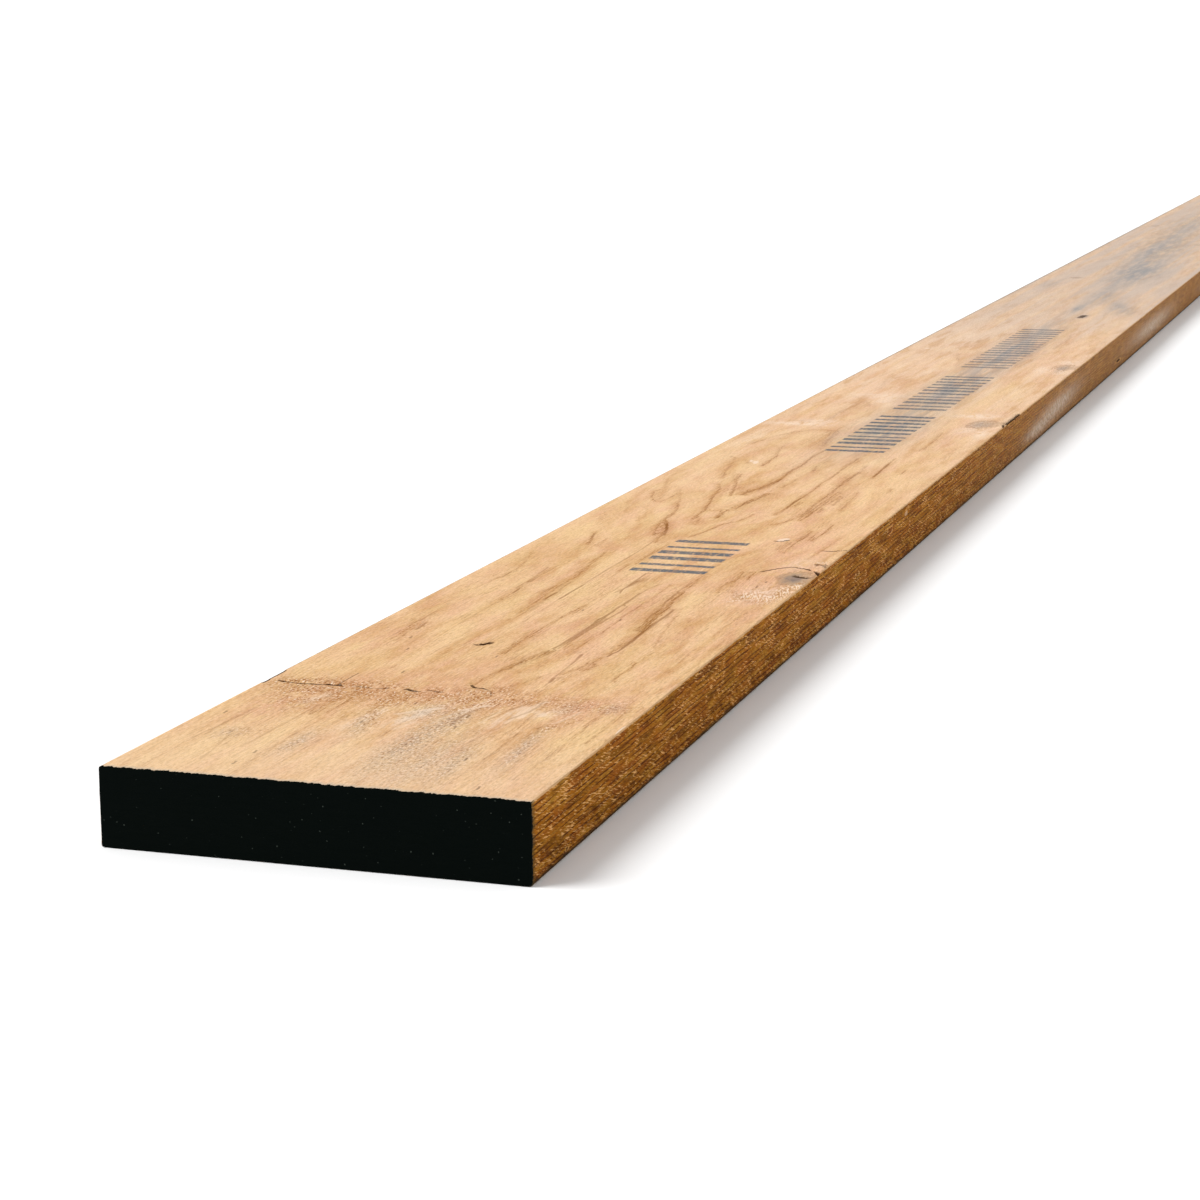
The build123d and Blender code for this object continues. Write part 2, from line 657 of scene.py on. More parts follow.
# Broader brown streaks of late wood, which the growth lines break up into
VEINS = trace_rows(
    (3.4, 0.6, (235, -4.5), (261, -6), (277, -8.5), (297, -11), (313, -14.5), (330, -18)),
    (3.0, 0.65, (335, -55.5), (355, -56.5), (374, -57), (406, -56)),
    (5.4, 0.95, (406, -55.5), (426, -54), (445, -52.5), (464, -51.5), (482, -50.5)),
    (3.6, 0.8, (484, -50), (503, -48), (520, -46.5), (539, -45.5)),
    (2.4, 0.4, (539, -45.5), (561, -44), (587, -44)),
    (3.6, 0.5, (274, -46), (284, -48), (297, -52), (313, -53), (322, -54.5)),
    (2.5, 0.35, (288, -56), (302, -58)),
    (4.2, 0.6, (318, 8), (345, 8.5), (368, 8.8), (386, 9)),
    (2.6, 0.5, (393, 8.5), (416, 8), (440, 7), (476, 5)),
    (2.6, 0.35, (440, 40), (475, 41), (510, 43), (550, 42)),
    (2.7, 0.55, (505, 48), (522, 46.5), (542, 44.5), (565, 43), (587, 44), (620, 48), (655, 51), (668, 52)),
    (2.4, 0.3, (490, 103), (506, 98.5), (523, 97), (542, 95.5)),
    (2.4, 0.45, (542, 95.5), (555, 93.5), (587, 93.5), (603, 95.5), (650, 104)),
    (2.8, 0.4, (480, 66.5), (510, 67), (530, 69.5), (561, 70.5), (597, 71.5)),
    (2.6, 0.5, (265, -80.5), (284, -79), (300, -81.5), (316, -78.5)),
    (2.6, 0.45, (543, -69.5), (561, -66), (577, -68), (597, -69.5), (620, -67)),
    (2.2, 0.5, (597, -76), (622, -75.5)),
    (1.9, 0.55, (561, -89.5), (568, -97), (571, -102), (587, -104.5)),
    (2.8, 0.35, (371, 86.5), (385, 88), (392, 86.5)),
    (4.0, 0.4, (335, 84), (350, 88), (375, 94), (400, 99)),
    (1.9, 0.35, (361, -77), (390, -72.5), (426, -67.5), (458, -64)),
    (1.8, 0.45, (444, -76), (452, -76)),
    (3.2, 0.35, (230, -24), (245, -31), (262, -35)),
    (1.6, 0.45, (327, -31), (360, -31.5), (390, -32), (430, -32), (446, -30), (480, -31), (520, -31),
     (560, -30.5)),
    (3.6, 0.5, (140, 60), (165, 59), (195, 56), (208, 58)),
    (2.4, 0.4, (145, 52), (175, 51), (200, 49)),
    (2.4, 0.4, (150, 67), (180, 67.5), (206, 66)),
    (2.6, 0.3, (0, 98), (40, 99), (90, 96), (140, 98)),
    (2.8, 0.3, (10, 47), (50, 48), (90, 50), (130, 49)),
    (2.2, 0.3, (60, 77), (100, 79), (150, 76)),
    (2.4, 0.28, (20, 32), (60, 31), (110, 33)),
    (2.0, 0.35, (100, 1), (130, 3), (150, 2)),
    (1.6, 0.5, (140, -25), (158, -25), (178, -28)),
    (2.6, 0.35, (20, -68), (70, -70), (130, -69)),
    (2.2, 0.3, (0, -88), (60, -89), (120, -87)),
    (2.6, 0.35, (40, -99), (110, -101), (190, -99)),
    (1.8, 0.35, (120, -110), (170, -111), (205, -110)),
    (2.0, 0.45, (155, -42), (180, -46), (204, -53)),
    (2.0, 0.45, (160, -62), (185, -62), (206, -59)),
    (1.9, 0.45, (630, 17), (665, 17.5), (700, 16), (720, 17)),
    (2.6, 0.65, (720, 28.5), (745, 32), (760, 35), (775, 36.5)),
    (3.0, 1.0, (775, 36), (792, 39.5), (805, 44), (815, 48)),
    (2.4, 0.6, (750, 39), (770, 43), (785, 46), (805, 49), (825, 51), (850, 51.5), (870, 54), (890, 59),
     (902, 63)),
    (2.8, 0.45, (902, 63), (920, 66), (940, 71), (952, 74)),
    (2.4, 0.65, (695, 74), (707, 77.5), (720, 79), (732, 82.5), (750, 85.5)),
    (2.2, 0.35, (690, 65), (725, 68.5)),
    (2.2, 0.4, (600, 20), (625, 21)),
    (2.4, 0.45, (805, 20.5), (822, 23), (836, 24.5)),
    (2.3, 0.75, (830, 29), (845, 30.5), (860, 31), (872, 31.5), (885, 34), (900, 36), (920, 39), (940, 43)),
    (2.4, 0.6, (940, 43), (960, 45.5), (980, 48), (995, 52), (1010, 56.5)),
    (2.7, 0.65, (950, 30), (965, 33), (980, 36), (1000, 39), (1015, 42), (1030, 47), (1050, 50),
     (1067, 52)),
    (2.2, 0.45, (982, 30), (1000, 31.5)),
    (2.8, 0.5, (1040, 62.5), (1060, 65), (1075, 69), (1100, 72.5), (1125, 76), (1150, 79), (1165, 83),
     (1172, 90)),
    (2.8, 0.65, (1118, 46), (1135, 46), (1160, 47.5), (1190, 49)),
    (2.8, 0.4, (1195, 51), (1225, 56), (1250, 58.5)),
    (4.4, 1.0, (958, 21.5), (972, 21.5), (985, 19)),
    (3.4, 1.0, (985, 19), (1000, 15.5), (1015, 13.5), (1035, 11.5), (1052, 12)),
    (2.4, 0.9, (1052, 12), (1075, 13), (1100, 13.5), (1125, 12.5), (1150, 13.5), (1175, 15),
     (1200, 15.5), (1228, 13.5)),
    (2.5, 0.8, (840, 12.5), (855, 13.5), (870, 14.5), (878, 12.5)),
    (3.4, 1.0, (878, 12), (900, 8.5), (920, 7), (940, 4.8), (958, 2), (970, 1.8)),
    (2.0, 0.4, (866, 30), (873, 24), (880, 16), (886, 11)),
    (1.9, 0.65, (750, 9), (770, 5), (790, 2.5), (810, 0)),
    (2.3, 0.5, (812, -0.5), (822, -5), (830, -8.5), (842, -11), (862, -12)),
    (3.0, 0.6, (1006, -1), (1022, -2)),
    (1.8, 0.35, (1022, -3), (1055, -2)),
    (2.8, 0.55, (1094, -7.5), (1110, -4.5), (1130, -1.5)),
    (2.0, 0.85, (866, -29.5), (900, -30), (940, -29), (970, -30.5)),
    (1.7, 0.65, (970, -30.5), (1010, -30), (1030, -28), (1060, -29), (1100, -29), (1120, -27.5),
     (1190, -27.5)),
    (3.0, 0.35, (912, -34), (930, -36)),
    (2.5, 0.55, (820, -39), (830, -44), (845, -47.5), (865, -50), (890, -50)),
    (2.5, 0.65, (890, -50), (920, -49), (950, -49), (1000, -47.5), (1025, -46.5)),
    (3.6, 0.9, (1025, -46.5), (1050, -46), (1070, -45.5), (1090, -46.5), (1110, -47.5)),
    (2.0, 0.4, (1110, -47), (1145, -45)),
    (2.0, 0.75, (845, -55.5), (870, -56), (895, -55.5), (920, -56), (945, -55.5), (970, -55), (992, -56)),
    (1.8, 0.5, (886, -60), (905, -61)),
    (2.3, 0.45, (928, -63), (950, -62.5), (972, -62)),
    (1.8, 0.9, (1078, -64.5), (1100, -63.5), (1125, -62.5), (1150, -62), (1170, -61)),
    (1.5, 0.5, (1170, -61), (1200, -60.5)),
    (1.9, 0.55, (705, -76), (730, -75.5), (755, -75)),
    (2.4, 0.75, (755, -75), (772, -77), (788, -76), (800, -75.5)),
    (1.8, 0.4, (713, -69), (747, -69)),
    (1.6, 0.7, (760, -85), (780, -85.5), (800, -87), (820, -86), (832, -85)),
    (1.6, 0.45, (900, -76), (925, -74), (950, -72.5), (980, -70.5), (1000, -69)),
    (2.4, 0.5, (1000, -94.5), (1022, -93.5)),
    (2.2, 0.45, (1108, -84.5), (1128, -84)),
    (2.2, 0.6, (903, 80), (907, 85), (920, 90), (935, 95), (947, 98), (962, 98.5)),
    (1.8, 0.35, (905, 78), (930, 76.5), (955, 77), (972, 80)),
    (2.2, 0.3, (850, 93), (885, 97), (920, 101)),
    (2.2, 0.35, (970, 95), (1000, 101), (1025, 107)),
    (5.0, 0.6, (1262, 22), (1290, 25), (1330, 28), (1365, 32)),
    (4.0, 0.5, (1255, 92), (1300, 84), (1345, 72), (1372, 52), (1366, 36)),
    (6.0, 0.45, (1425, 98), (1430, 80), (1424, 66)),
    (2.4, 0.4, (1250, -72), (1300, -74), (1380, -70)),
    (5.0, 0.35, (1560, 40), (1600, 52), (1640, 74)),
    (4.0, 0.4, (1700, 62), (1780, 70), (1860, 76)),
    (4.5, 0.55, (2010, 28), (2060, 38), (2090, 42)),
    (5.0, 0.5, (2230, 42), (2290, 50), (2330, 46)),
    (4.0, 0.4, (2180, -62), (2260, -64), (2340, -62)),
    (4.0, 0.5, (1420, 72), (1440, 58), (1500, 62), (1560, 56), (1600, 60)),
    (1.8, 0.6, (1424, -84), (1450, -83), (1478, -90)),
    (2.4, 0.6, (1940, -92), (1975, -91), (2004, -99)),
)

# Pale fibres lifted before the first joint
SPLINTERS = trace_rows(
    (2.0, 0.6, (120, 0.8), (136, -3.3)),
    (2.2, 0.9, (153, 11.3), (164, 3.1), (171, -6.4)),
    (1.4, 0.5, (130, -13.2), (165, -18)),
    (2.0, 1.0, (172, -20), (179, -25.2), (185, -29.8)),
    (1.3, 0.7, (186, -22.7), (200, -26.8)),
    (1.2, 0.6, (147, -39.9), (172, -41.4)),
    (1.3, 0.7, (138, -49.3), (174, -48.3), (188, -49.8)),
    (1.5, 0.9, (151, -53.5), (192, -54.3), (203, -58.3)),
    (1.3, 0.9, (165, -57.8), (200, -57.9)),
    (4.0, 0.7, (179, -60.3), (173, -68.5)),
    (1.3, 0.6, (159, -80.6), (174, -83.4), (186, -85.5)),
)

TONES = {
    Tone.STREAK: (
        Patch(942, 88, 34, 8, 0.5),
        Patch(168, 59, 32, 6, 0.6),
        Patch(365, 91, 36, 7, 0.6, 0.15),
        Patch(460, 5, 16, 3.5, 0.7),
        Patch(590, -73, 32, 7, 0.5),
        Patch(120, -62, 80, 12, 0.3, -0.1),
        Patch(1345, 31, 50, 8, 0.8),
        Patch(2680, 97, 110, 8, 0.9),
        Patch(3145, 87, 60, 14, 0.7),
        Patch(2180, 46, 70, 8, 0.5),
        Patch(1740, -12, 40, 12, 0.5),
    ),
    Tone.BLUSH: (
        Patch(150, 88, 40, 20, 0.7),
        Patch(205, -5, 30, 60, 0.4),
        Patch(180, -85, 45, 22, 0.7),
        Patch(245, 20, 35, 30, 0.5),
        Patch(345, 95, 70, 15, 0.7),
        Patch(480, -32, 120, 10, 0.9),
        Patch(545, -92, 60, 18, 0.9),
        Patch(690, -88, 120, 22, 0.8),
        Patch(790, 38, 60, 8, 0.7),
        Patch(860, -62, 140, 12, 0.6),
        Patch(1450, -85, 130, 24, 0.8),
        Patch(1960, -98, 150, 28, 0.8),
        Patch(1720, 58, 180, 26, 0.7),
        Patch(1420, 95, 60, 30, 0.6),
        Patch(2150, -20, 260, 60, 0.5),
    ),
    Tone.GREY: (
        Patch(92, -19, 66, 11, 1.0),
        Patch(45, -42, 44, 14, 0.5),
        Patch(150, -24, 24, 7, 0.8, 0.1),
        Patch(162, 0, 20, 11, 0.9),
        Patch(78, 41, 26, 5, 0.9),
        Patch(125, 23, 32, 6, 0.8, 0.15),
        Patch(87, 86, 12, 8, 0.6),
        Patch(100, -81, 44, 4, 1.0, 0.06),
        Patch(60, -57, 44, 6, 0.7, 0.1),
        Patch(90, -41, 60, 6, 0.4),
        Patch(192, -76, 14, 7, 0.6),
        Patch(200, -101, 12, 6, 0.8),
    ),
    Tone.SMUDGE: (
        Patch(1368, -14, 150, 32, 0.9),
        Patch(1700, -14, 190, 30, 0.9),
        Patch(2130, -18, 260, 30, 1.0),
        Patch(2440, -20, 140, 24, 0.35),
        Patch(2725, -17, 60, 9, 0.9),
        Patch(2615, -41, 26, 6, 0.9),
        Patch(2750, -77, 110, 18, 0.7, 0.18),
        Patch(2960, -25, 190, 20, 0.6),
        Patch(3150, 86, 60, 14, 0.35),
        Patch(3400, -25, 240, 40, 0.9),
        Patch(3950, 0, 420, 44, 0.8),
        Patch(4700, 20, 500, 44, 0.6),
        # The dark line along the far left arris: painted shade, not a smudge
        Patch(4100, 121.0, 1700, 5.0, 1.0),
        Patch(1960, -104, 40, 6, 0.5),
        Patch(1450, -96, 28, 9, 0.4),
    ),
    Tone.TORN: (
        Patch(182, 86, 34, 16, 1.0, 0.2),
        Patch(190, 64, 26, 14, 0.6),
        Patch(192, 40, 24, 10, 1.0, 0.25),
        Patch(186, 22, 20, 11, 0.9),
        Patch(196, 7, 16, 6, 1.0),
        Patch(192, -17, 22, 12, 1.0),
        Patch(216, -20, 14, 8, 1.0),
        Patch(206, 62, 14, 16, 0.8),
        Patch(208, 97, 16, 26, 0.9),
        Patch(209, 10, 15, 60, 0.7),
        Patch(157, -85, 20, 6, 0.7, -0.3),
        Patch(193, -76, 16, 8, 0.5),
        Patch(188, -34, 30, 9, 0.45),
        Patch(140, 23, 24, 6, 0.7, 0.25),
        Patch(205, -52, 14, 26, 0.5),
        Patch(202, -97, 16, 20, 0.45),
        Patch(90, 70, 16, 8, 0.3),
        Patch(531, -91, 20, 6, 1.0, 0.7),
        Patch(560, -112, 30, 6, 0.8),
        Patch(620, -118, 30, 5, 0.4),
        Patch(385, 90, 14, 4, 0.5, 0.2),
    ),
    Tone.FLAKE: (
        Patch(1446, -97, 40, 10, 0.6),
        Patch(1965, -104, 60, 12, 0.7),
        Patch(541, -93, 15, 8, 1.0),
        Patch(531, -106, 14, 7, 0.9),
        Patch(560, -112, 24, 6, 1.0),
        Patch(582, -117, 18, 4, 0.9),
        Patch(668, -113, 12, 5, 0.7),
        Patch(522, -86, 14, 6, 0.5),
    ),
    Tone.CREAM: (
        Patch(1408, 84, 12, 34, 1.0, 0.02),
        Patch(1432, 66, 14, 22, 0.7),
        Patch(1655, 50, 22, 30, 0.9),
        Patch(1610, 34, 26, 14, 0.7),
        Patch(1513, -82, 18, 24, 1.0),
        Patch(1380, -109, 30, 7, 1.0),
        Patch(1402, -90, 22, 10, 0.6),
        Patch(1940, -84, 34, 8, 0.9),
        Patch(2028, -104, 20, 16, 1.0),
        Patch(1922, -110, 24, 10, 0.8),
        Patch(1760, 88, 60, 9, 0.5),
        Patch(1890, 40, 50, 14, 0.5),
        Patch(2280, 70, 90, 12, 0.6),
        Patch(2450, -80, 80, 14, 0.5),
        Patch(2900, 60, 90, 14, 0.7),
        Patch(3060, -60, 90, 14, 0.5),
        Patch(1300, 100, 60, 9, 0.4),
        Patch(548, -100, 30, 14, 0.5),
        Patch(660, -100, 30, 10, 0.4),
        Patch(50, -20, 60, 90, 0.18),
        Patch(152, 1, 26, 4.5, 1.0, -0.22),
        Patch(176, -25.5, 14, 3.5, 1.0, -0.37),
        Patch(168, -49, 24, 2.6, 0.6, -0.07),
        Patch(182, -56.5, 24, 2.2, 0.6, -0.02),
        Patch(176, -70, 12, 5.0, 0.7, -0.4),
        Patch(140, 26, 30, 3.0, 0.7, -0.15),
        Patch(172, 72, 20, 4.0, 0.7, -0.2),
    ),
    Tone.STRAW: (
        Patch(40, 84, 80, 42, 0.9),
        Patch(115, -104, 60, 16, 0.8),
        Patch(169, 11, 10, 8, 0.9),
        Patch(192, -4, 14, 3.5, 1.0),
        Patch(168, -72, 14, 7, 0.9),
        Patch(182, -44, 22, 3, 0.6, -0.2),
        Patch(250, 100, 120, 24, 0.6),
        Patch(360, 58, 60, 10, 0.7),
        Patch(560, 22, 120, 14, 0.4),
        Patch(720, 95, 130, 20, 0.5),
        Patch(1540, -60, 120, 30, 0.7),
        Patch(1740, -80, 120, 20, 0.9),
        Patch(1050, -95, 120, 20, 0.5),
        Patch(1200, 100, 200, 22, 0.5),
    ),
}


def upper_face(stock: Stock) -> FaceFigure:
    """The wide face that the photograph shows.

    Args:
        stock: The plank's sizes.

    Returns:
        Its figure, with the marks where the photograph has them.
    """
    second_joint = FIRST_JOINT + SHEET_LENGTH
    third_joint = second_joint + SHEET_LENGTH
    sheets = (
        Sheet(0.0, FIRST_JOINT, 40.0, 12.0, 4.0, 101),
        Sheet(FIRST_JOINT, second_joint, 18.0, 17.0, 1.0, 102, GROWTH_LINES),
        Sheet(second_joint, third_joint, -30.0, 13.0, 2.6, 103),
        Sheet(third_joint, stock.length, 45.0, 15.0, -3.2, 104),
    )
    dots = tuple(Trace(((x, y), (x + 2.5, y + 0.2)), 0.75, 0.5, 0.2) for x, y in DOTS)
    traces = {
        Mark.CRACK: JOINT_CRACKS + OPEN_CRACKS + dots,
        Mark.HAIR: HAIRS,
        Mark.VEIN: VEINS,
        Mark.SPLINTER: SPLINTERS,
    }
    return FaceFigure(Side.UPPER, sheets, KNOTS, CHIPS, traces, TONES)


def under_face(stock: Stock) -> FaceFigure:
    """The hidden wide face, finished as plainly as the rest of the upper one.

    Args:
        stock: The plank's sizes.

    Returns:
        Its figure.
    """
    first_joint = 1420.0
    second_joint = first_joint + SHEET_LENGTH
    sheets = (
        Sheet(0.0, first_joint, -20.0, 15.0, 2.4, 201),
        Sheet(first_joint, second_joint, 35.0, 14.0, -2.2, 202),
        Sheet(second_joint, stock.length, 5.0, 16.0, 3.0, 203),
    )
    knots = (
        Spot(540, 62, 36, 20, 6),
        Spot(1180, -84, 30, 16),
        Spot(2210, 30, 42, 22, -7),
        Spot(3020, -50, 30, 15),
        Spot(3960, 92, 44, 22, 5),
        Spot(4870, -25, 36, 18),
        Spot(5600, 55, 28, 14),
    )
    cracks = (
        Trace(((1420, 80), (1421, 52), (1419.5, 40)), 1.0, 1.0, 0.8),
        Trace(((3858, -20), (3857, -62)), 1.0, 1.0, 0.8),
    )
    tones = {
        Tone.STREAK: tuple(Patch(260 + 470 * i, 70 * math.sin(2.3 * i), 150, 9, 0.8) for i in range(13)),
        Tone.BLUSH: tuple(Patch(500 + 900 * i, 60 * math.cos(1.7 * i), 260, 26, 0.6) for i in range(7)),
        Tone.TORN: tuple(Patch(joint, 40.0, 14, 60, 0.7) for joint in (first_joint, second_joint)),
    }
    return FaceFigure(Side.UNDER, sheets, knots, (), {Mark.CRACK: cracks}, tones)


@dataclass
class EdgeFigure:
    """What the saw and handling left on one edge."""

    side: Side
    holes: tuple[EdgeHole, ...] = ()
    scuffs: tuple[Patch, ...] = ()

    def depth(self, stock: Stock, along: np.ndarray, up: np.ndarray) -> np.ndarray:
        """How far the edge lies inside its plane.

        Args:
            stock: The plank's sizes.
            along: Places along the plank.
            up: Heights above the underside.

        Returns:
            The depths, with the veneers' lips, the saw's slanting tears low down, and the holes.
        """
        noise = LatticeNoise(self.side.value)
        depth = 0.14 * (1 + 0.6 * noise.value(along / 140, up / 9))
        veneer = np.abs((up / stock.veneer) % 1.0 - 0.5)
        depth = depth + 0.07 * ease(veneer, 0.3, 0.5) + 0.06 * noise.value(along / 7, up / 1.6 + 30)
        tear = noise.value((along * 0.88 - up * 0.47) / 13, (along * 0.47 + up * 0.88) / 3.2)
        depth = depth + 0.22 * ease(tear, 0.1, 0.8) * ease(up, 19.0, 9.0)
        for hole in self.holes:
            depth = depth + hole.depth * ease(hole.radius(along, up), 1.15, 0.4)
        return np.maximum(depth, 0.0)


EDGE_HOLES = (
    EdgeHole(948.5, 36.45, 11.0, 2.6, 3.0),
    EdgeHole(891.0, 42.1, 9.0, 1.8, 1.4),
    EdgeHole(862.0, 34.6, 22.0, 1.2, 1.0),
    EdgeHole(1094.0, 26.4, 8.0, 1.4, 0.8),
    EdgeHole(617.0, 35.4, 9.0, 1.9, 0.6),
    EdgeHole(56.0, 4.0, 7.0, 2.0, 0.6),
    EdgeHole(2370.0, 11.0, 44.0, 4.0, 0.8),
)

EDGE_SCUFFS = (
    Patch(1820, 19, 150, 10, 1.0, 0.02),
    Patch(1660, 12, 70, 6, 0.7),
    Patch(2765, 20, 240, 11),
    Patch(3900, 15, 300, 9, 0.7),
)

LEFT_EDGE_SCUFFS = (
    Patch(1300, 25, 260, 9, 0.7),
    Patch(4300, 20, 300, 10, 0.7),
)


def sawn_edges() -> tuple[EdgeFigure, EdgeFigure]:
    """The right edge, which the photograph shows, and the left one."""
    return EdgeFigure(Side.RIGHT, EDGE_HOLES, EDGE_SCUFFS), EdgeFigure(Side.LEFT, (), LEFT_EDGE_SCUFFS)


@dataclass(frozen=True)
class Zone:
    """A stretch of the plank that is cut into even steps."""

    start: float
    stop: float
    pitch: float

    @property
    def steps(self) -> int:
        """Number of steps."""
        return max(1, round((self.stop - self.start) / self.pitch))


@dataclass
class PlankMesh:
    """The one visible piece: a box with eased arrises, cut finely and worn by hand-sized marks."""

    stock: Stock
    upper: FaceFigure
    under: FaceFigure
    edges: tuple[EdgeFigure, EdgeFigure]
    name: str = "plank_dressed"
    lengthwise: tuple[Zone, ...] = (
        Zone(0, 210, 2.5),
        Zone(210, 420, 3.5),
        Zone(420, 600, 4.5),
        Zone(600, 660, 1.5),
        Zone(660, 740, 6.0),
        Zone(740, 775, 2.5),
        Zone(775, 845, 6.0),
        Zone(845, 960, 3.0),
        Zone(960, 1430, 9.0),
        Zone(1430, 1550, 3.5),
        Zone(1550, 2648, 18.0),
        Zone(2648, 5086, 40.0),
        Zone(5086, 6096, 36.0),
    )
    fine_rim: float = 30.0
    fine_pitch: float = 1.7
    broad_pitch: float = 3.2
    under_pitch: float = 10.0
    right_pitch: float = 1.6
    left_pitch: float = 3.2
    grain_recess: float = 0.12
    map_break: float = 1550.0
    cut: bpy.types.Object = field(init=False)

    SAME_PLACE = 2e-5
    END_SLACK = 0.01
    SMOOTH_ANGLE = 35
    NEAR_STRIP = (0.0, 0.60)
    FAR_STRIP = (0.62, 0.32)
    END_STRIP = (0.955, 0.04)
    STRIP_MARGIN = 0.003
    END_MARGIN = 0.02
    GIRTH_SHARES = (0.02, 0.50, 0.66, 0.88, 0.99)

    def build(self) -> bpy.types.Object:
        """Makes the piece.

        Returns:
            The finished object, at the origin, in metres.
        """
        self._block()
        self._cut_crosswise()
        self._cut_lengthwise()
        self._lay_flat_map()
        self._wear()
        self._mark_values()
        self._mark_rings()
        self._share_out_slots()
        bpy.ops.object.shade_smooth_by_angle(angle=math.radians(self.SMOOTH_ANGLE))
        return self.cut

    def _block(self) -> None:
        """Adds the sawn block and eases its long arrises."""
        stock = self.stock
        bpy.ops.object.select_all(action="DESELECT")
        bpy.ops.mesh.primitive_cube_add(
            size=1,
            location=(0, 0, stock.thickness / 2 * MM),
            scale=(stock.length * MM, stock.width * MM, stock.thickness * MM),
        )
        self.cut = bpy.context.object
        self.cut.name = self.name
        self.cut.data.name = self.name
        bpy.ops.object.transform_apply(location=True, rotation=True, scale=True)
        bpy.ops.object.mode_set(mode="EDIT")
        bpy.ops.mesh.select_mode(type="EDGE")
        self._select_edges(0, -math.inf, math.inf)
        bpy.ops.mesh.bevel(offset=stock.arris * MM, offset_type="OFFSET", segments=3, affect="EDGES")
        bpy.ops.object.mode_set(mode="OBJECT")

    def _select_edges(self, axis: int, low: float, high: float, near: Vector | None = None) -> int:
        """Selects the edges that run along an axis and lie between two planes.

        Args:
            axis: 0, 1 or 2, for X, Y or Z.
            low: Lower plane, in metres.
            high: Upper plane, in metres.
            near: A way from the plank's middle: only edges on that side are taken.

        Returns:
            How many edges were selected.
        """
        bpy.ops.mesh.select_all(action="DESELECT")
        shell = bmesh.from_edit_mesh(self.cut.data)
        middle = Vector((0, 0, self.stock.thickness / 2 * MM))
        others = [i for i in range(3) if i != axis]
        count = 0
        for edge in shell.edges:
            a, b = edge.verts[0].co, edge.verts[1].co
            if any(abs(a[i] - b[i]) > self.SAME_PLACE for i in others):
                continue
            if near and (a - middle).dot(near) < 0:
                continue
            lower, upper = sorted((a[axis], b[axis]))
            if lower >= low - self.SAME_PLACE and upper <= high + self.SAME_PLACE:
                edge.select = True
                count += 1
        shell.select_flush_mode()
        bmesh.update_edit_mesh(self.cut.data)
        return count

    def _cut_zones(
        self,
        axis: int,
        origin: float,
        zones: tuple[Zone, ...],
        near: Vector | None = None,
    ) -> None:
        """Cuts zones apart, then each into even steps.

        Args:
            axis: Axis that the zones lie along.
            origin: Where their places are measured from, in millimetres.
            zones: The zones, in order.
            near: A way from the plank's middle: only edges on that side are cut.
        """
        bpy.ops.object.mode_set(mode="EDIT")
        bpy.ops.mesh.select_mode(type="EDGE")
        for zone in zones[1:]:
            normal = Vector((0, 0, 0))
            normal[axis] = 1
            bpy.ops.mesh.select_all(action="SELECT")
            bpy.ops.mesh.bisect(plane_co=normal * (origin + zone.start) * MM, plane_no=normal)
        for zone in zones:
            low, high = (origin + zone.start) * MM, (origin + zone.stop) * MM
            if zone.steps > 1 and self._select_edges(axis, low, high, near):
                bpy.ops.mesh.subdivide(number_cuts=zone.steps - 1)
        bpy.ops.object.mode_set(mode="OBJECT")

    def _cut_lengthwise(self) -> None:
        """Cuts the plank across its length into stations."""
        self._cut_zones(0, self.stock.near, self.lengthwise)

    def _cut_crosswise(self) -> None:
        """Cuts the wide faces into strips, finer near the right edge, and the edges into half veneers."""
        stock = self.stock
        inner = stock.half_width - stock.arris
        rim = self.fine_rim - inner
        top = (Zone(-inner, rim, self.fine_pitch), Zone(rim, inner, self.broad_pitch))
        bottom = (Zone(-inner, rim, self.under_pitch), Zone(rim, inner, self.under_pitch))
        low, high = stock.arris, stock.thickness - stock.arris
        self._cut_zones(1, 0.0, top, Vector((0, 0, 1)))
        self._cut_zones(1, 0.0, bottom, Vector((0, 0, -1)))
        self._cut_zones(2, 0.0, (Zone(low, high, self.right_pitch),), Vector((0, -1, 0)))
        self._cut_zones(2, 0.0, (Zone(low, high, self.left_pitch),), Vector((0, 1, 0)))

    def _places(self) -> np.ndarray:
        """Reads where the vertices lie.

        Returns:
            Their places, in millimetres.
        """
        flat = np.empty(len(self.cut.data.vertices) * 3)
        self.cut.data.vertices.foreach_get("co", flat)
        return flat.reshape(-1, 3) / MM

    def _middles(self) -> np.ndarray:
        """Reads where the faces' middles lie.

        Returns:
            The middles, in millimetres.
        """
        flat = np.empty(len(self.cut.data.polygons) * 3)
        self.cut.data.polygons.foreach_get("center", flat)
        return flat.reshape(-1, 3) / MM

    def _on_ends(self) -> np.ndarray:
        """Which faces lie on the sawn ends."""
        return np.abs(self._middles()[:, 0]) > self.stock.length / 2 - self.END_SLACK

    def _corners(self) -> tuple[np.ndarray, np.ndarray]:
        """Numbers the face corners.

        Returns:
            For each corner its vertex's number, and its face's number.
        """
        mesh = self.cut.data
        vertex = np.empty(len(mesh.loops), dtype=np.int64)
        mesh.loops.foreach_get("vertex_index", vertex)
        totals = np.empty(len(mesh.polygons), dtype=np.int64)
        mesh.polygons.foreach_get("loop_total", totals)
        return vertex, np.repeat(np.arange(len(totals)), totals)

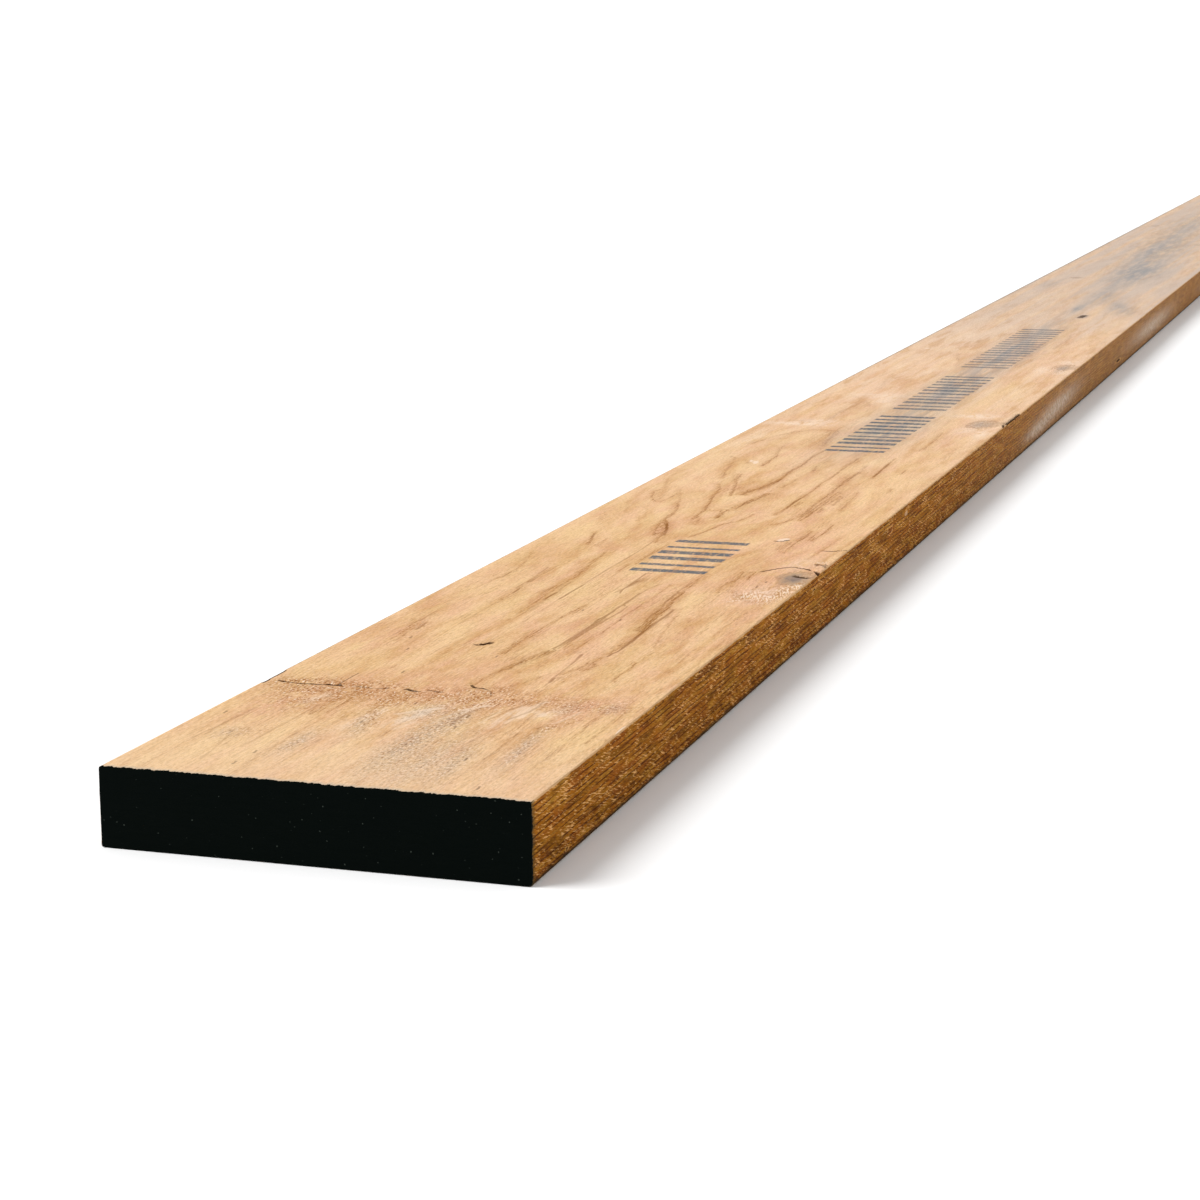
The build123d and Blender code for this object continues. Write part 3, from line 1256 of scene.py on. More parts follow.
    def _lay_flat_map(self) -> None:
        """Lays the surface flat for a texture, with most of its room for the near part of the plank.

        The skin is unrolled round the plank into two strips, up to map_break and past it, and the
        ends lie side by side under them. The strip for the upper face is the widest.
        """
        stock = self.stock
        vertex, face = self._corners()
        x, y, z = self._places()[vertex].T
        middle = self._middles()[face]
        along = x - stock.near
        width, thick = stock.width, stock.thickness
        right, left = y + stock.half_width, stock.half_width - y
        girth = np.where(y < 0, left + thick - z, left - thick + z)
        lower = np.where(y < 0, width + thick - z + right, width + thick + z + right)
        girth = np.where(z < thick / 2, lower, girth)
        on_left = middle[:, 1] > stock.half_width - stock.arris * 0.3
        girth = np.where(on_left, 2 * width + thick + z, girth)
        turns = np.cumsum([0, width, thick, width, thick])
        share = np.interp(girth, turns, self.GIRTH_SHARES)
        far = middle[:, 0] - stock.near > self.map_break
        u = np.where(far, (along - self.map_break) / (stock.length - self.map_break), along / self.map_break)
        (near_foot, near_height), (far_foot, far_height) = self.NEAR_STRIP, self.FAR_STRIP
        v = np.where(far, far_foot + far_height * share, near_foot + near_height * share)
        on_end = self._on_ends()[face]
        end_u = self.END_MARGIN + (0.5 - 2 * self.END_MARGIN) * right / width + 0.5 * (x > 0)
        u = np.where(on_end, end_u, self.STRIP_MARGIN + (1 - 2 * self.STRIP_MARGIN) * u)
        v = np.where(on_end, self.END_STRIP[0] + self.END_STRIP[1] * z / thick, v)
        flat = self.cut.data.uv_layers.new(name="OFBake")
        flat.data.foreach_set("uv", np.stack([u, v], axis=1).astype(np.float32).ravel())

    def _wear(self) -> None:
        """Moves the vertices inwards: waves, grain, joints, knots, cracks and the worn arrises."""
        stock = self.stock
        x, y, z = self._places().T.copy()
        along = x - stock.near
        inner = stock.half_width - stock.arris
        rim = np.clip((np.abs(y) - inner) / stock.arris, 0.0, 1.0)
        high = z > stock.thickness / 2
        depths = []
        for edge, way in zip(self.edges, EDGE_WAYS):
            on_edge = y * way > inner + stock.arris * 0.7
            depths.append((on_edge, way, edge.depth(stock, along[on_edge], z[on_edge])))
        for figure, mask, way in ((self.upper, high, -1.0), (self.under, ~high, 1.0)):
            on_face = mask & ((z > stock.thickness - stock.arris * 1.01) | (z < stock.arris * 1.01))
            depth = self._face_depth(figure, along[on_face], y[on_face])
            z[on_face] += way * depth * (1 - 0.6 * rim[on_face])
        for on_edge, way, depth in depths:
            y[on_edge] -= way * depth
        moved = np.stack([x, y, z], axis=1) * MM
        self.cut.data.vertices.foreach_set("co", moved.ravel())
        self.cut.data.update()

    def _face_depth(self, figure: FaceFigure, along: np.ndarray, across: np.ndarray) -> np.ndarray:
        """How far a wide face lies inside its plane.

        Args:
            figure: The face's figure.
            along: Places along the plank.
            across: Places across it.

        Returns:
            The depths, with the grain, the lips at the joints, torn grain, knots, chips and cracks.
        """
        noise = LatticeNoise(figure.side.value)
        depth = self.grain_recess * (1 + 0.5 * noise.value(along / 260, across / 30))
        depth = depth + 0.04 * noise.value(along / 35 + 9, across / 6)
        for after in figure.sheets[1:]:
            gap = along - after.start
            lip = np.where(gap < 0, np.exp(gap / 18), 0.0)
            depth = depth + 0.25 * lip * (1 + 0.5 * noise.value(across / 12, along * 0 + 7))
        torn = figure.toned(Tone.TORN, along, across)
        depth = depth + 0.16 * torn * (1 + noise.value(along / 6, across / 3.5 + 60))
        radius = nearest_radius(figure.knots, along, across)
        depth = depth + 0.40 * ease(radius, 0.9, 0.2) - 0.10 * ease(np.abs(radius - 1), 0.35, 0.0)
        depth = depth - 0.08 * ease(nearest_radius(figure.chips, along, across), 1.0, 0.6)
        depth = depth + figure.traced(Mark.CRACK, along, across).depth
        return np.maximum(depth, 0.0)

    def _mark_values(self) -> None:
        """Writes each vertex's share of the figure on the mesh, for its materials to read."""
        stock = self.stock
        x, y, z = self._places().T
        along = x - stock.near
        high = z > stock.thickness / 2
        names = [tone.value for tone in Tone] + ["fibre", "scuff"]
        values = {name: np.zeros(len(x)) for name in names}
        for name in ("knot", "chip", "hole"):
            values[name] = np.full(len(x), FAR_RADIUS)
        for figure, mask in ((self.upper, high), (self.under, ~high)):
            places = (along[mask], y[mask])
            for tone in Tone:
                values[tone.value][mask] = figure.toned(tone, *places)
            values["fibre"][mask] = figure.fibre(*places)
            values["knot"][mask] = nearest_radius(figure.knots, *places)
            values["chip"][mask] = nearest_radius(figure.chips, *places)
            for mark in Mark:
                found = figure.traced(mark, *places)
                for part in TRACE_PARTS:
                    value = values.setdefault(f"{mark.value}_{part}", np.ones(len(x)))
                    value[mask] = getattr(found, part)
        for edge, way in zip(self.edges, EDGE_WAYS):
            mask = y * way > stock.half_width - stock.arris
            values["hole"][mask] = nearest_radius(edge.holes, along[mask], z[mask])
            values["scuff"][mask] = cover(edge.scuffs, along[mask], z[mask])
        for name, value in values.items():
            self._write_values(name, "POINT", value)

    def _mark_rings(self) -> None:
        """Writes each face corner's ring number on the mesh, so that the rings can jump at a joint."""
        vertex, face = self._corners()
        x, y, z = self._places()[vertex].T
        along, high = x - self.stock.near, z > self.stock.thickness / 2
        face_along = self._middles()[face, 0] - self.stock.near
        rings = np.zeros(len(vertex))
        for figure, on_side in ((self.upper, high), (self.under, ~high)):
            for sheet in figure.sheets:
                here = on_side & (face_along >= sheet.start) & (face_along < sheet.stop)
                rings[here] = figure.rings(sheet, along[here], y[here])
        self._write_values("rings", "CORNER", rings)

    def _write_values(self, name: str, domain: str, values: np.ndarray) -> None:
        """Writes one value for each vertex or face corner on the mesh."""
        layer = self.cut.data.attributes.new(name, "FLOAT", domain)
        layer.data.foreach_set("value", values.astype(np.float32))

    def _share_out_slots(self) -> None:
        """Gives the ends, the sawn edges and the peeled faces their slots."""
        aside = np.abs(self._middles()[:, 1])
        slots = np.full(len(aside), Slot.VENEER.value)
        slots[aside > self.stock.half_width - self.stock.arris * 0.5] = Slot.EDGE.value
        slots[self._on_ends()] = Slot.SEALER.value
        self.cut.data.polygons.foreach_set("material_index", slots.astype(np.int32))


class Value:
    """A shader value that Python arithmetic works on."""

    def __init__(self, tree: "Finish", socket: bpy.types.NodeSocket) -> None:
        """Wraps a socket.

        Args:
            tree: The finish that the socket belongs to.
            socket: The output socket.
        """
        self.tree = tree
        self.socket = socket

    def _with(self, operation: str, *terms: "Value | float") -> "Value":
        """Adds a Math node."""
        inputs = {number: term for number, term in enumerate(terms)}
        return self.tree.add("ShaderNodeMath", {"operation": operation}, inputs)

    def __add__(self, other: "Value | float") -> "Value":
        """The sum."""
        return self._with("ADD", self, other)

    def __radd__(self, other: float) -> "Value":
        """The sum, the other way round."""
        return self._with("ADD", other, self)

    def __sub__(self, other: "Value | float") -> "Value":
        """The difference."""
        return self._with("SUBTRACT", self, other)

    def __rsub__(self, other: float) -> "Value":
        """The difference, the other way round."""
        return self._with("SUBTRACT", other, self)

    def __mul__(self, other: "Value | float") -> "Value":
        """The product."""
        return self._with("MULTIPLY", self, other)

    def __rmul__(self, other: float) -> "Value":
        """The product, the other way round."""
        return self._with("MULTIPLY", other, self)

    def __truediv__(self, other: "Value | float") -> "Value":
        """The quotient."""
        return self._with("DIVIDE", self, other)

    def __rtruediv__(self, other: float) -> "Value":
        """The quotient, the other way round."""
        return self._with("DIVIDE", other, self)

    def __abs__(self) -> "Value":
        """The size without its sign."""
        return self._with("ABSOLUTE", self)

    def fraction(self) -> "Value":
        """What is left over the whole number."""
        return self._with("FRACT", self)

    def whole(self) -> "Value":
        """The whole number at or under it."""
        return self._with("FLOOR", self)

    def least(self, other: "Value | float") -> "Value":
        """The smaller of two."""
        return self._with("MINIMUM", self, other)

    def most(self, other: "Value | float") -> "Value":
        """The larger of two."""
        return self._with("MAXIMUM", self, other)

    def between(self, low: float, high: float) -> "Value":
        """Rises smoothly from 0 at low to 1 at high, or falls if high is the lower one."""
        inputs = {"Value": self, "From Min": low, "From Max": high}
        return self.tree.add("ShaderNodeMapRange", {"interpolation_type": "SMOOTHSTEP"}, inputs)


class Finish:
    """A material under construction, for a surface that lies in one plane of the plank."""

    SLACK = 1.8

    def __init__(self, name: str, plane: str = "xy") -> None:
        """Starts an empty material.

        Args:
            name: The material's name.
            plane: The two axes of the surface, along it and across it.
        """
        self.material = bpy.data.materials.new(name)
        self.material.use_nodes = True
        self.nodes = self.material.node_tree.nodes
        self.links = self.material.node_tree.links
        self.shader = self.nodes["Principled BSDF"]
        place = self.add("ShaderNodeTexCoord", {}, {}, "Object")
        place = self.shade(place, 1 / MM)
        self.x, self.y, self.z = (self.add("ShaderNodeSeparateXYZ", {}, {0: place}, axis) for axis in "XYZ")
        self.flat = self.joined(getattr(self, plane[0]), getattr(self, plane[1]))

    def add(
        self,
        kind: str,
        settings: dict[str, object],
        inputs: dict[str | int, object],
        output: str | int = 0,
    ) -> Value:
        """Adds a node of any kind.

        Args:
            kind: The node's type.
            settings: Its own settings, which are set first.
            inputs: Values or links for its sockets, by name or number.
            output: The output that is wanted.

        Returns:
            That output.
        """
        node = self.nodes.new(kind)
        for name, setting in settings.items():
            setattr(node, name, setting)
        for name, given in inputs.items():
            socket = node.inputs[name]
            if isinstance(given, Value):
                self.links.new(given.socket, socket)
            else:
                socket.default_value = given
        return Value(self, node.outputs[output])

    def value_on_mesh(self, name: str) -> Value:
        """A value that the mesh carries."""
        return self.add("ShaderNodeAttribute", {"attribute_name": name}, {}, "Fac")

    def traced(self, mark: Mark) -> tuple[Value, Value, Value]:
        """Reads what the mesh carries about the nearest trace of a kind.

        The signed distance is exact on a coarse mesh but also runs through 0 where one trace takes
        over from another, and there the plain distance, less some slack, keeps it large.

        Args:
            mark: The kind of trace.

        Returns:
            The distance in widths of that trace, its strength, and the signed distance.
        """
        side, near, width, strength = (self.value_on_mesh(f"{mark.value}_{part}") for part in TRACE_PARTS)
        return abs(side).most(near - self.SLACK) / width, strength, side

    def cells(self, along: float, across: float, seed: float = 0.0) -> Value:
        """The place on the surface, measured in cells of the given size in millimetres."""
        inputs = {0: self.flat, 1: (1 / along, 1 / across, 0), 2: (seed * 3.1, seed * 1.7, 0)}
        return self.add("ShaderNodeVectorMath", {"operation": "MULTIPLY_ADD"}, inputs, "Vector")

    def leaning(self, along: float, across: float, lean: float, seed: float = 0.0) -> Value:
        """Places in cells that are turned downwards from the plank's length.

        Args:
            along: Length of a cell, in millimetres.
            across: Height of a cell.
            lean: How far it is turned, in degrees.
            seed: Shifts the cells.

        Returns:
            The place.
        """
        turn = math.radians(lean)
        run = {0: self.flat, 1: (math.cos(turn) / along, -math.sin(turn) / along, 0)}
        rise = {0: self.flat, 1: (math.sin(turn) / across, math.cos(turn) / across, 0)}
        parts = [
            self.add("ShaderNodeVectorMath", {"operation": "DOT_PRODUCT"}, given, "Value") + seed
            for given in (run, rise)
        ]
        return self.joined(parts[0], parts[1])

    def joined(self, x: "Value | float", y: "Value | float") -> Value:
        """A vector from two values."""
        return self.add("ShaderNodeCombineXYZ", {}, {0: x, 1: y}, "Vector")

    def noise(self, cells: Value, detail: float = 2.0, roughness: float = 0.5) -> Value:
        """Soft noise about 0.5."""
        inputs = {"Vector": cells, "Scale": 1.0, "Detail": detail, "Roughness": roughness}
        return self.add("ShaderNodeTexNoise", {"noise_dimensions": "2D"}, inputs, 0)

    def chance(self, number: Value) -> Value:
        """A value from 0 to 1 that is picked for each whole number."""
        return self.add("ShaderNodeTexWhiteNoise", {"noise_dimensions": "1D"}, {"W": number}, "Value")

    def blend(self, first: "Value | Colour", second: "Value | Colour", share: "Value | float") -> Value:
        """Mixes two colours.

        Args:
            first: The colour at share 0.
            second: The colour at share 1.
            share: The share of the second.

        Returns:
            The mixed colour.
        """
        inputs = {0: share, 6: first, 7: second}
        return self.add("ShaderNodeMix", {"data_type": "RGBA"}, inputs, 2)

    def shade(self, colour: "Value | Colour", factor: "Value | float") -> Value:
        """Multiplies a colour or a place by a number."""
        plain = colour if isinstance(colour, Value) else colour[:3]
        return self.add("ShaderNodeVectorMath", {"operation": "SCALE"}, {0: plain, "Scale": factor}, "Vector")

    def bump(self, height: Value, distance: float, strength: float = 1.0) -> None:
        """Raises the surface by a height from 0 to 1, over a distance in millimetres."""
        inputs = {"Strength": strength, "Distance": distance * MM, "Height": height}
        self.set("Normal", self.add("ShaderNodeBump", {}, inputs, "Normal"))

    def set(self, socket: str, given: "Value | float | Colour") -> None:
        """Sets or links one of the shader's sockets."""
        if isinstance(given, Value):
            self.links.new(given.socket, self.shader.inputs[socket])
        else:
            self.shader.inputs[socket].default_value = given


@dataclass(frozen=True)
class Sealer:
    """Black wax sealer, sprayed on the sawn ends."""

    stock: Stock
    black: Colour = tint(8, 14, 12)
    dust: Colour = tint(92, 100, 92)
    mist: Colour = tint(172, 166, 152)
    moss: Colour = tint(70, 66, 40)

    def reach(self, finish: Finish) -> Value:
        """Measures from the sealer's ragged edge.

        Args:
            finish: The material of the face that the sealer laps over.

        Returns:
            How far inside it a place lies, in millimetres.
        """
        teeth = finish.noise(finish.cells(60, 3.4, 4.0), 4.0, 0.68)
        swell = finish.noise(finish.cells(60, 34, 9.0), 2.0)
        return teeth * 7.0 + swell * 3.0 - 3.9 - (self.stock.length / 2 - abs(finish.x))

    def lap(self, finish: Finish, colour: Value, haze: Colour, spread: float, strength: float) -> Value:
        """Lays the sealer that went round the end over a face's colour.

        Args:
            finish: The face's material.
            colour: Its colour so far.
            haze: The colour that the thin spray past the edge takes.
            spread: How far that spray goes, in millimetres.
            strength: How much it covers.

        Returns:
            The new colour.
        """
        inside = self.reach(finish)
        grain = finish.noise(finish.cells(2.2, 1.6, 6.0), 2.0, 0.6)
        spray = (inside + grain * spread * 0.8).between(-spread * 0.6, spread * 0.4)
        colour = finish.blend(colour, haze, spray * strength)
        return finish.blend(colour, self.black, inside.between(-0.3, 0.3))

    def material(self) -> bpy.types.Material:
        """Makes the ends' material.

        Returns:
            The material.
        """
        finish = Finish("end_sealer", "yz")
        specks = finish.noise(finish.cells(2.0, 2.0), 1.0).between(0.80, 0.86)
        finish.set("Base Color", finish.blend(self.black, self.dust, specks * 0.35))
        plies = finish.noise(finish.cells(30, 1.3), 3.0, 0.6)
        brush = finish.noise(finish.cells(9, 2.5, 3.0), 3.0)
        finish.set("Roughness", 0.6 + brush * 0.2)
        finish.set("Specular IOR Level", 0.03)
        finish.bump(plies * 0.6 + brush * 0.4, 0.25)
        return finish.material


@dataclass(frozen=True)
class WoodFinish:
    """A finish of the plank's bare wood, with the sealer that laps over it at the ends."""

    stock: Stock
    sealer: Sealer

    def _along(self, finish: Finish) -> Value:
        """Places along the plank, from its near end."""
        return finish.x - self.stock.near


@dataclass(frozen=True)
class BarRow:
    """A row of plain printed bars that lie across the plank."""

    start: float
    count: int
    pitch: float
    strength: float


@dataclass(frozen=True)
class PeeledVeneer(WoodFinish):
    """The bare peeled face: tan wood with thin brown growth lines."""

    pale: Colour = tint(219, 180, 140)
    tan: Colour = tint(198, 154, 108)
    straw: Colour = tint(222, 189, 140)
    brown: Colour = tint(168, 116, 62)
    line: Colour = tint(118, 74, 34)
    rose: Colour = tint(210, 160, 132)
    rust: Colour = tint(172, 122, 82)
    ash: Colour = tint(160, 146, 132)
    chalk: Colour = tint(230, 206, 182)
    mellow: Colour = tint(220, 186, 152)
    # Painted sheen: the paler and greyer colours that the face takes towards the far end
    far_sheen_pale: Colour = tint(215, 187, 163)
    far_sheen_tone: Colour = tint(190, 152, 119)
    far_sheen_grey: Colour = tint(182, 167, 156)
    knot_heart: Colour = tint(152, 134, 118)
    knot_rim: Colour = tint(130, 94, 68)
    bluish: Colour = tint(104, 100, 104)
    # Painted shade: the dark inside the cracks, pinholes and nicks
    torn: Colour = tint(48, 28, 14)
    # Painted shade along the left arris
    arris_shade: Colour = tint(84, 80, 78)
    ink: Colour = tint(84, 94, 102)
    smudged: Colour = tint(122, 130, 136)
    flake_lean: float = -14.0
    bar_low: float = -43.0
    bar_high: float = 15.0
    bar_blur: float = 1.2
    ink_blur: float = 0.8
    bar_rows: tuple[BarRow, ...] = (
        BarRow(604, 6, 24, 1.0),
        BarRow(1230, 11, 25, 1.0),
        BarRow(1545, 12, 27, 0.85),
        BarRow(1945, 18, 27, 0.7),
    )

    RING_WIDTH = 16.0

    def _figure(self, finish: Finish, along: float, across: float, seed: float) -> Value:
        """Cells, in millimetres, that run with the growth figure."""
        rings = finish.value_on_mesh("rings")
        return finish.joined(finish.x / along + seed, rings * (self.RING_WIDTH / across) + seed)

    def _fibres(self, finish: Finish, along: float, across: float, seed: float) -> Value:
        """Cells, in millimetres, that run with the fibres."""
        fibre = finish.value_on_mesh("fibre")
        return finish.joined(finish.x / along + seed, fibre / across + seed)

    def _on_top(self, finish: Finish) -> Value:
        """1 on the upper face and 0 on the hidden one."""
        return finish.z.between(self.stock.thickness * 0.4, self.stock.thickness * 0.6)

    def material(self) -> bpy.types.Material:
        """Makes the faces' material.

        Returns:
            The material.
        """
        finish = Finish("peeled_veneer")
        strand = finish.noise(self._fibres(finish, 42, 1.5, 1.0), 4.0, 0.70)
        fleck = finish.noise(self._fibres(finish, 9, 1.2, 21.0), 3.0, 0.70)
        grit = finish.noise(finish.cells(7, 2.0, 3.0), 3.0, 0.8)
        colour = self._ground(finish, strand, fleck)
        colour = self._roughness(finish, colour)
        # Brightness, 3 % higher past 500-1000 mm along, as part of the painted far sheen
        lift_with_far_sheen = 1.37 + self._along(finish).between(500, 1000) * 0.03
        colour = finish.shade(colour, lift_with_far_sheen - grit * 0.34 - strand * 0.18 - fleck * 0.24)
        colour = self._knots(finish, colour)
        colour = self._smudges_and_arris_shade(finish, colour, grit)
        colour = self._lines(finish, colour, strand)
        colour = self._bars(finish, colour)
        colour = self.sealer.lap(finish, colour, self.sealer.mist, 5.0, 0.55)
        finish.set("Base Color", colour)
        finish.set("Roughness", 0.62 + strand * 0.16)
        finish.set("Specular IOR Level", 0.0)
        finish.bump(strand * 0.25 + fleck * 0.4 + grit * 0.9, 0.25)
        return finish.material

    def _ground(self, finish: Finish, strand: Value, fleck: Value) -> Value:
        """The wood's own colours, with a painted sheen that makes them paler towards the far end.

        Args:
            finish: The material.
            strand: Noise in long threads that run with the fibres.
            fleck: Noise in short ones.

        Returns:
            The colour.
        """
        blotch = finish.noise(finish.cells(22, 7, 8.0), 3.0, 0.65)
        rosy = finish.noise(finish.cells(90, 24, 10.0), 2.0).between(0.50, 0.70) * 0.35
        blush = (finish.value_on_mesh(Tone.BLUSH.value) + rosy).least(1.0) * blotch.between(0.25, 0.58)
        colour = finish.blend(self._bands(finish), self.rose, blush * 0.65)
        colour = self._late_wood(finish, colour, blush, strand, fleck)
        cream = finish.value_on_mesh(Tone.CREAM.value) * blotch.between(0.32, 0.52)
        colour = finish.blend(colour, self.chalk, cream * 0.90)
        return self._far_sheen(finish, colour)

    def _bands(self, finish: Finish) -> Value:
        """Soft bands of pale, tan and golden wood, more mottled before the first joint.

        Args:
            finish: The material.

        Returns:
            The colour.
        """
        broad = finish.noise(self._figure(finish, 130, 13, 7.0), 3.0, 0.55)
        mottle = finish.noise(finish.cells(30, 8, 31.0), 3.0, 0.6)
        mottled = self._along(finish).between(FIRST_JOINT + 120, FIRST_JOINT - 20) * 0.3 + 0.2
        colour = finish.blend(self.pale, self.tan, (broad + (mottle - broad) * mottled).between(0.36, 0.66))
        hue = finish.noise(finish.cells(60, 15, 27.0), 2.0, 0.5)
        colour = finish.blend(colour, self.straw, hue.between(0.50, 0.64) * 0.32)
        colour = finish.blend(colour, self.rose, hue.between(0.46, 0.34) * 0.26)
        golden = finish.noise(finish.cells(120, 26, 6.0), 2.0).between(0.50, 0.72) * 0.35
        golden = golden + finish.value_on_mesh(Tone.STRAW.value) * 0.75
        return finish.blend(colour, self.straw, golden.least(1.0))

    def _late_wood(self, finish: Finish, colour: Value, blush: Value, strand: Value, fleck: Value) -> Value:
        """Draws the growth lines and the veins that they break up into.

        Args:
            finish: The material.
            colour: The colour so far.
            blush: Where the wood is reddish.
            strand: Noise in long threads that run with the fibres.
            fleck: Noise in short ones.

        Returns:
            The new colour.
        """
        dash = (strand * 0.5 + fleck * 0.5).between(0.50, 0.60)
        late = self._growth(finish)
        colour = finish.blend(colour, self.brown, (late * (0.35 + dash * 0.7)).least(1.0))
        away, strength, side = finish.traced(Mark.VEIN)
        close = self._along(finish).between(700, 560)
        away = away * (1.0 + close * 0.25)
        strength = strength * (1.0 - close * 0.15 - finish.y.between(58, 76) * 0.25)
        reddish = finish.blend(self.brown, self.rust, blush * 0.3)
        colour = finish.blend(colour, reddish, away.between(3.4, 0.3) * strength * 0.34)
        away = (away + (1.0 - strand - fleck)) * (1.0 + side.between(0.0, -1.2) * 0.9)
        vein = away.between(1.5, 0.1) * strength
        colour = finish.blend(colour, reddish, vein * (0.56 + dash * 0.26))
        colour = finish.blend(colour, self.line, away.between(0.7, 0.0) * strength * 0.35)
        dashed = dash * (0.07 + late * 0.4 + vein * 0.50 + close * 0.05)
        colour = finish.blend(colour, self.line, dashed.least(1.0))
        return finish.blend(colour, self.pale, strand.between(0.46, 0.34) * 0.18)

    def _far_sheen(self, finish: Finish, colour: Value) -> Value:
        """Pales the wood a little at the near end, and pales and greys it towards the far end in two steps,
        as a painted sheen where the face is seen at a grazing angle.

        Args:
            finish: The material.
            colour: The colour so far.

        Returns:
            The new colour.
        """
        along = self._along(finish)
        cloud = finish.noise(finish.cells(1000, 26, 13.0), 3.0, 0.6).between(0.34, 0.66)
        drift = finish.noise(finish.cells(190, 20, 41.0), 4.0, 0.68)
        haze = finish.blend(self.far_sheen_pale, self.far_sheen_tone, drift.between(0.50, 0.64) * 0.8)
        haze = finish.blend(haze, self.chalk, drift.between(0.47, 0.36) * 0.5)
        colour = finish.blend(colour, self.mellow, along.between(150, 0) * 0.45)
        # Painted sheen: paler, then greyer, towards the far end
        colour = finish.blend(colour, haze, along.between(500, 2100) * (0.34 + cloud * 0.36))
        return finish.blend(colour, self.far_sheen_grey, along.between(1900, 3100) * (0.38 + cloud * 0.42))

    def _growth(self, finish: Finish) -> Value:
        """How strongly the dark wood of each growth line shows.

        Args:
            finish: The material.

        Returns:
            0 in pale wood, up to 1 in the dark.
        """
        waver = finish.noise(finish.cells(30, 5, 2.0), 3.0, 0.6) - 0.5
        phase = (finish.value_on_mesh("rings") + waver * 0.30).fraction()
        band = phase.between(0.60, 0.86) * phase.between(1.0, 0.96)
        patchy = finish.noise(self._figure(finish, 95, 9, 5.0), 2.0).between(0.42, 0.66)
        streak = finish.value_on_mesh(Tone.STREAK.value)
        return band * (patchy * 0.20 + 0.04) + streak * (0.30 + band * 0.40)

    def _roughness(self, finish: Finish, colour: Value) -> Value:
        """Greys the worn stripes, reddens the torn grain and lifts small flakes, all of them speckled.

        Args:
            finish: The material.
            colour: The colour so far.

        Returns:
            The new colour.
        """
        specks = finish.noise(finish.cells(3.2, 1.4, 3.0), 2.0, 0.65)
        clots = finish.noise(finish.cells(6.0, 2.6, 5.0), 3.0, 0.75)
        grey = finish.value_on_mesh(Tone.GREY.value)
        ragged = finish.noise(finish.cells(16, 8, 18.0), 3.0, 0.6)
        torn = finish.value_on_mesh(Tone.TORN.value) * (ragged.between(0.32, 0.52) * 0.85 + 0.15)
        colour = finish.blend(colour, self.ash, grey * (clots.between(0.38, 0.62) * 0.34 + 0.26))
        colour = finish.blend(colour, self.rust, torn * (clots.between(0.40, 0.60) * 0.56 + 0.30))
        flake = finish.value_on_mesh(Tone.FLAKE.value)
        strokes = finish.noise(finish.leaning(8.0, 1.6, self.flake_lean, 9.0), 2.0, 0.6)
        colour = finish.blend(colour, self.rust, flake * strokes.between(0.47, 0.38) * 0.65)
        colour = finish.blend(colour, self.chalk, flake * strokes.between(0.50, 0.58) * 0.9)
        rough = (grey * 0.8 + torn).least(1.0)
        colour = finish.blend(colour, self.line, (rough * 0.62 + 0.16) * specks.between(0.56, 0.68))
        return finish.blend(colour, self.chalk, (rough * 0.80 + 0.20) * specks.between(0.43, 0.31))

    def _knots(self, finish: Finish, colour: Value) -> Value:
        """Lays the knots and the pale chips over the grain.

        Args:
            finish: The material.
            colour: The colour so far.

        Returns:
            The new colour.
        """
        rough = finish.noise(finish.cells(13, 6, 11.0), 3.0, 0.6) - 0.5
        radius = finish.value_on_mesh("knot") + rough * 1.1
        lines = (radius * 4.0 + rough * 2.0).fraction().between(0.1, 0.9)
        heart = finish.blend(self.knot_heart, self.knot_rim, lines * 0.30)
        near = self._along(finish).between(1100, 800)
        heart = finish.blend(heart, self.bluish, radius.between(0.5, 0.1) * (near * 0.5 + 0.2))
        colour = finish.blend(colour, heart, radius.between(1.25, 0.35) * (near * 0.40 + 0.45))
        colour = finish.blend(colour, self.knot_rim, abs(radius - 0.95).between(0.16, 0.02) * 0.30)
        chip = finish.value_on_mesh("chip") + rough * 0.9
        return finish.blend(colour, self.chalk, chip.between(1.25, 0.7) * 0.8)

    def _smudges_and_arris_shade(self, finish: Finish, colour: Value, grit: Value) -> Value:
        """Smudges the upper face, and paints a dark line of shade along its left arris.

        Args:
            finish: The material.
            colour: The colour so far.
            grit: Fine noise.

        Returns:
            The new colour.
        """
        along, half_width, on_top = self._along(finish), self.stock.half_width, self._on_top(finish)
        smear = finish.noise(finish.cells(110, 10, 17.0), 4.0, 0.7).between(0.28, 0.62)
        smudge = finish.value_on_mesh(Tone.SMUDGE.value) * on_top
        colour = finish.blend(colour, self.smudged, smudge * (0.25 + smear * 0.45))
        # A dark line of painted shade along the left arris: wide past 1300 mm, thin from the first joint on
        border = (finish.y + grit * 4.0).between(half_width - 1.5, half_width + 1.5)
        border = border * along.between(1300, 2200)
        rim = (finish.y + grit * 1.6).between(half_width - 0.9, half_width + 0.1)
        rim = rim * along.between(FIRST_JOINT - 10, FIRST_JOINT + 5)
        return finish.blend(colour, self.arris_shade, (border * 0.85 + rim * 0.75).least(0.85) * on_top)

    def _lines(self, finish: Finish, colour: Value, strand: Value) -> Value:
        """Draws the pale splinters, the dark threads, which break off along the grain, and the cracks, dark
        with painted shade.

        Args:
            finish: The material.
            colour: The colour so far.
            strand: Noise that runs with the fibres.

        Returns:
            The new colour.
        """
        away, strength, _ = finish.traced(Mark.SPLINTER)
        away = away + (0.5 - strand) * 1.6
        colour = finish.blend(colour, self.chalk, away.between(1.5, 0.3) * strength * 0.42)
        away, strength, _ = finish.traced(Mark.HAIR)
        away = away + (0.5 - strand) * 2.6
        colour = finish.blend(colour, self.line, away.between(1.6, 0.4) * strength * 0.66)
        ragged = finish.noise(finish.cells(3.0, 1.4, 12.0), 3.0, 0.65) - 0.5
        # Cracks, pinholes and nicks, painted dark as the shade inside them
        away, strength, _ = finish.traced(Mark.CRACK)
        away = away + ragged * 1.3
        return finish.blend(colour, self.torn, away.between(1.25, 0.55) * strength * 0.95)

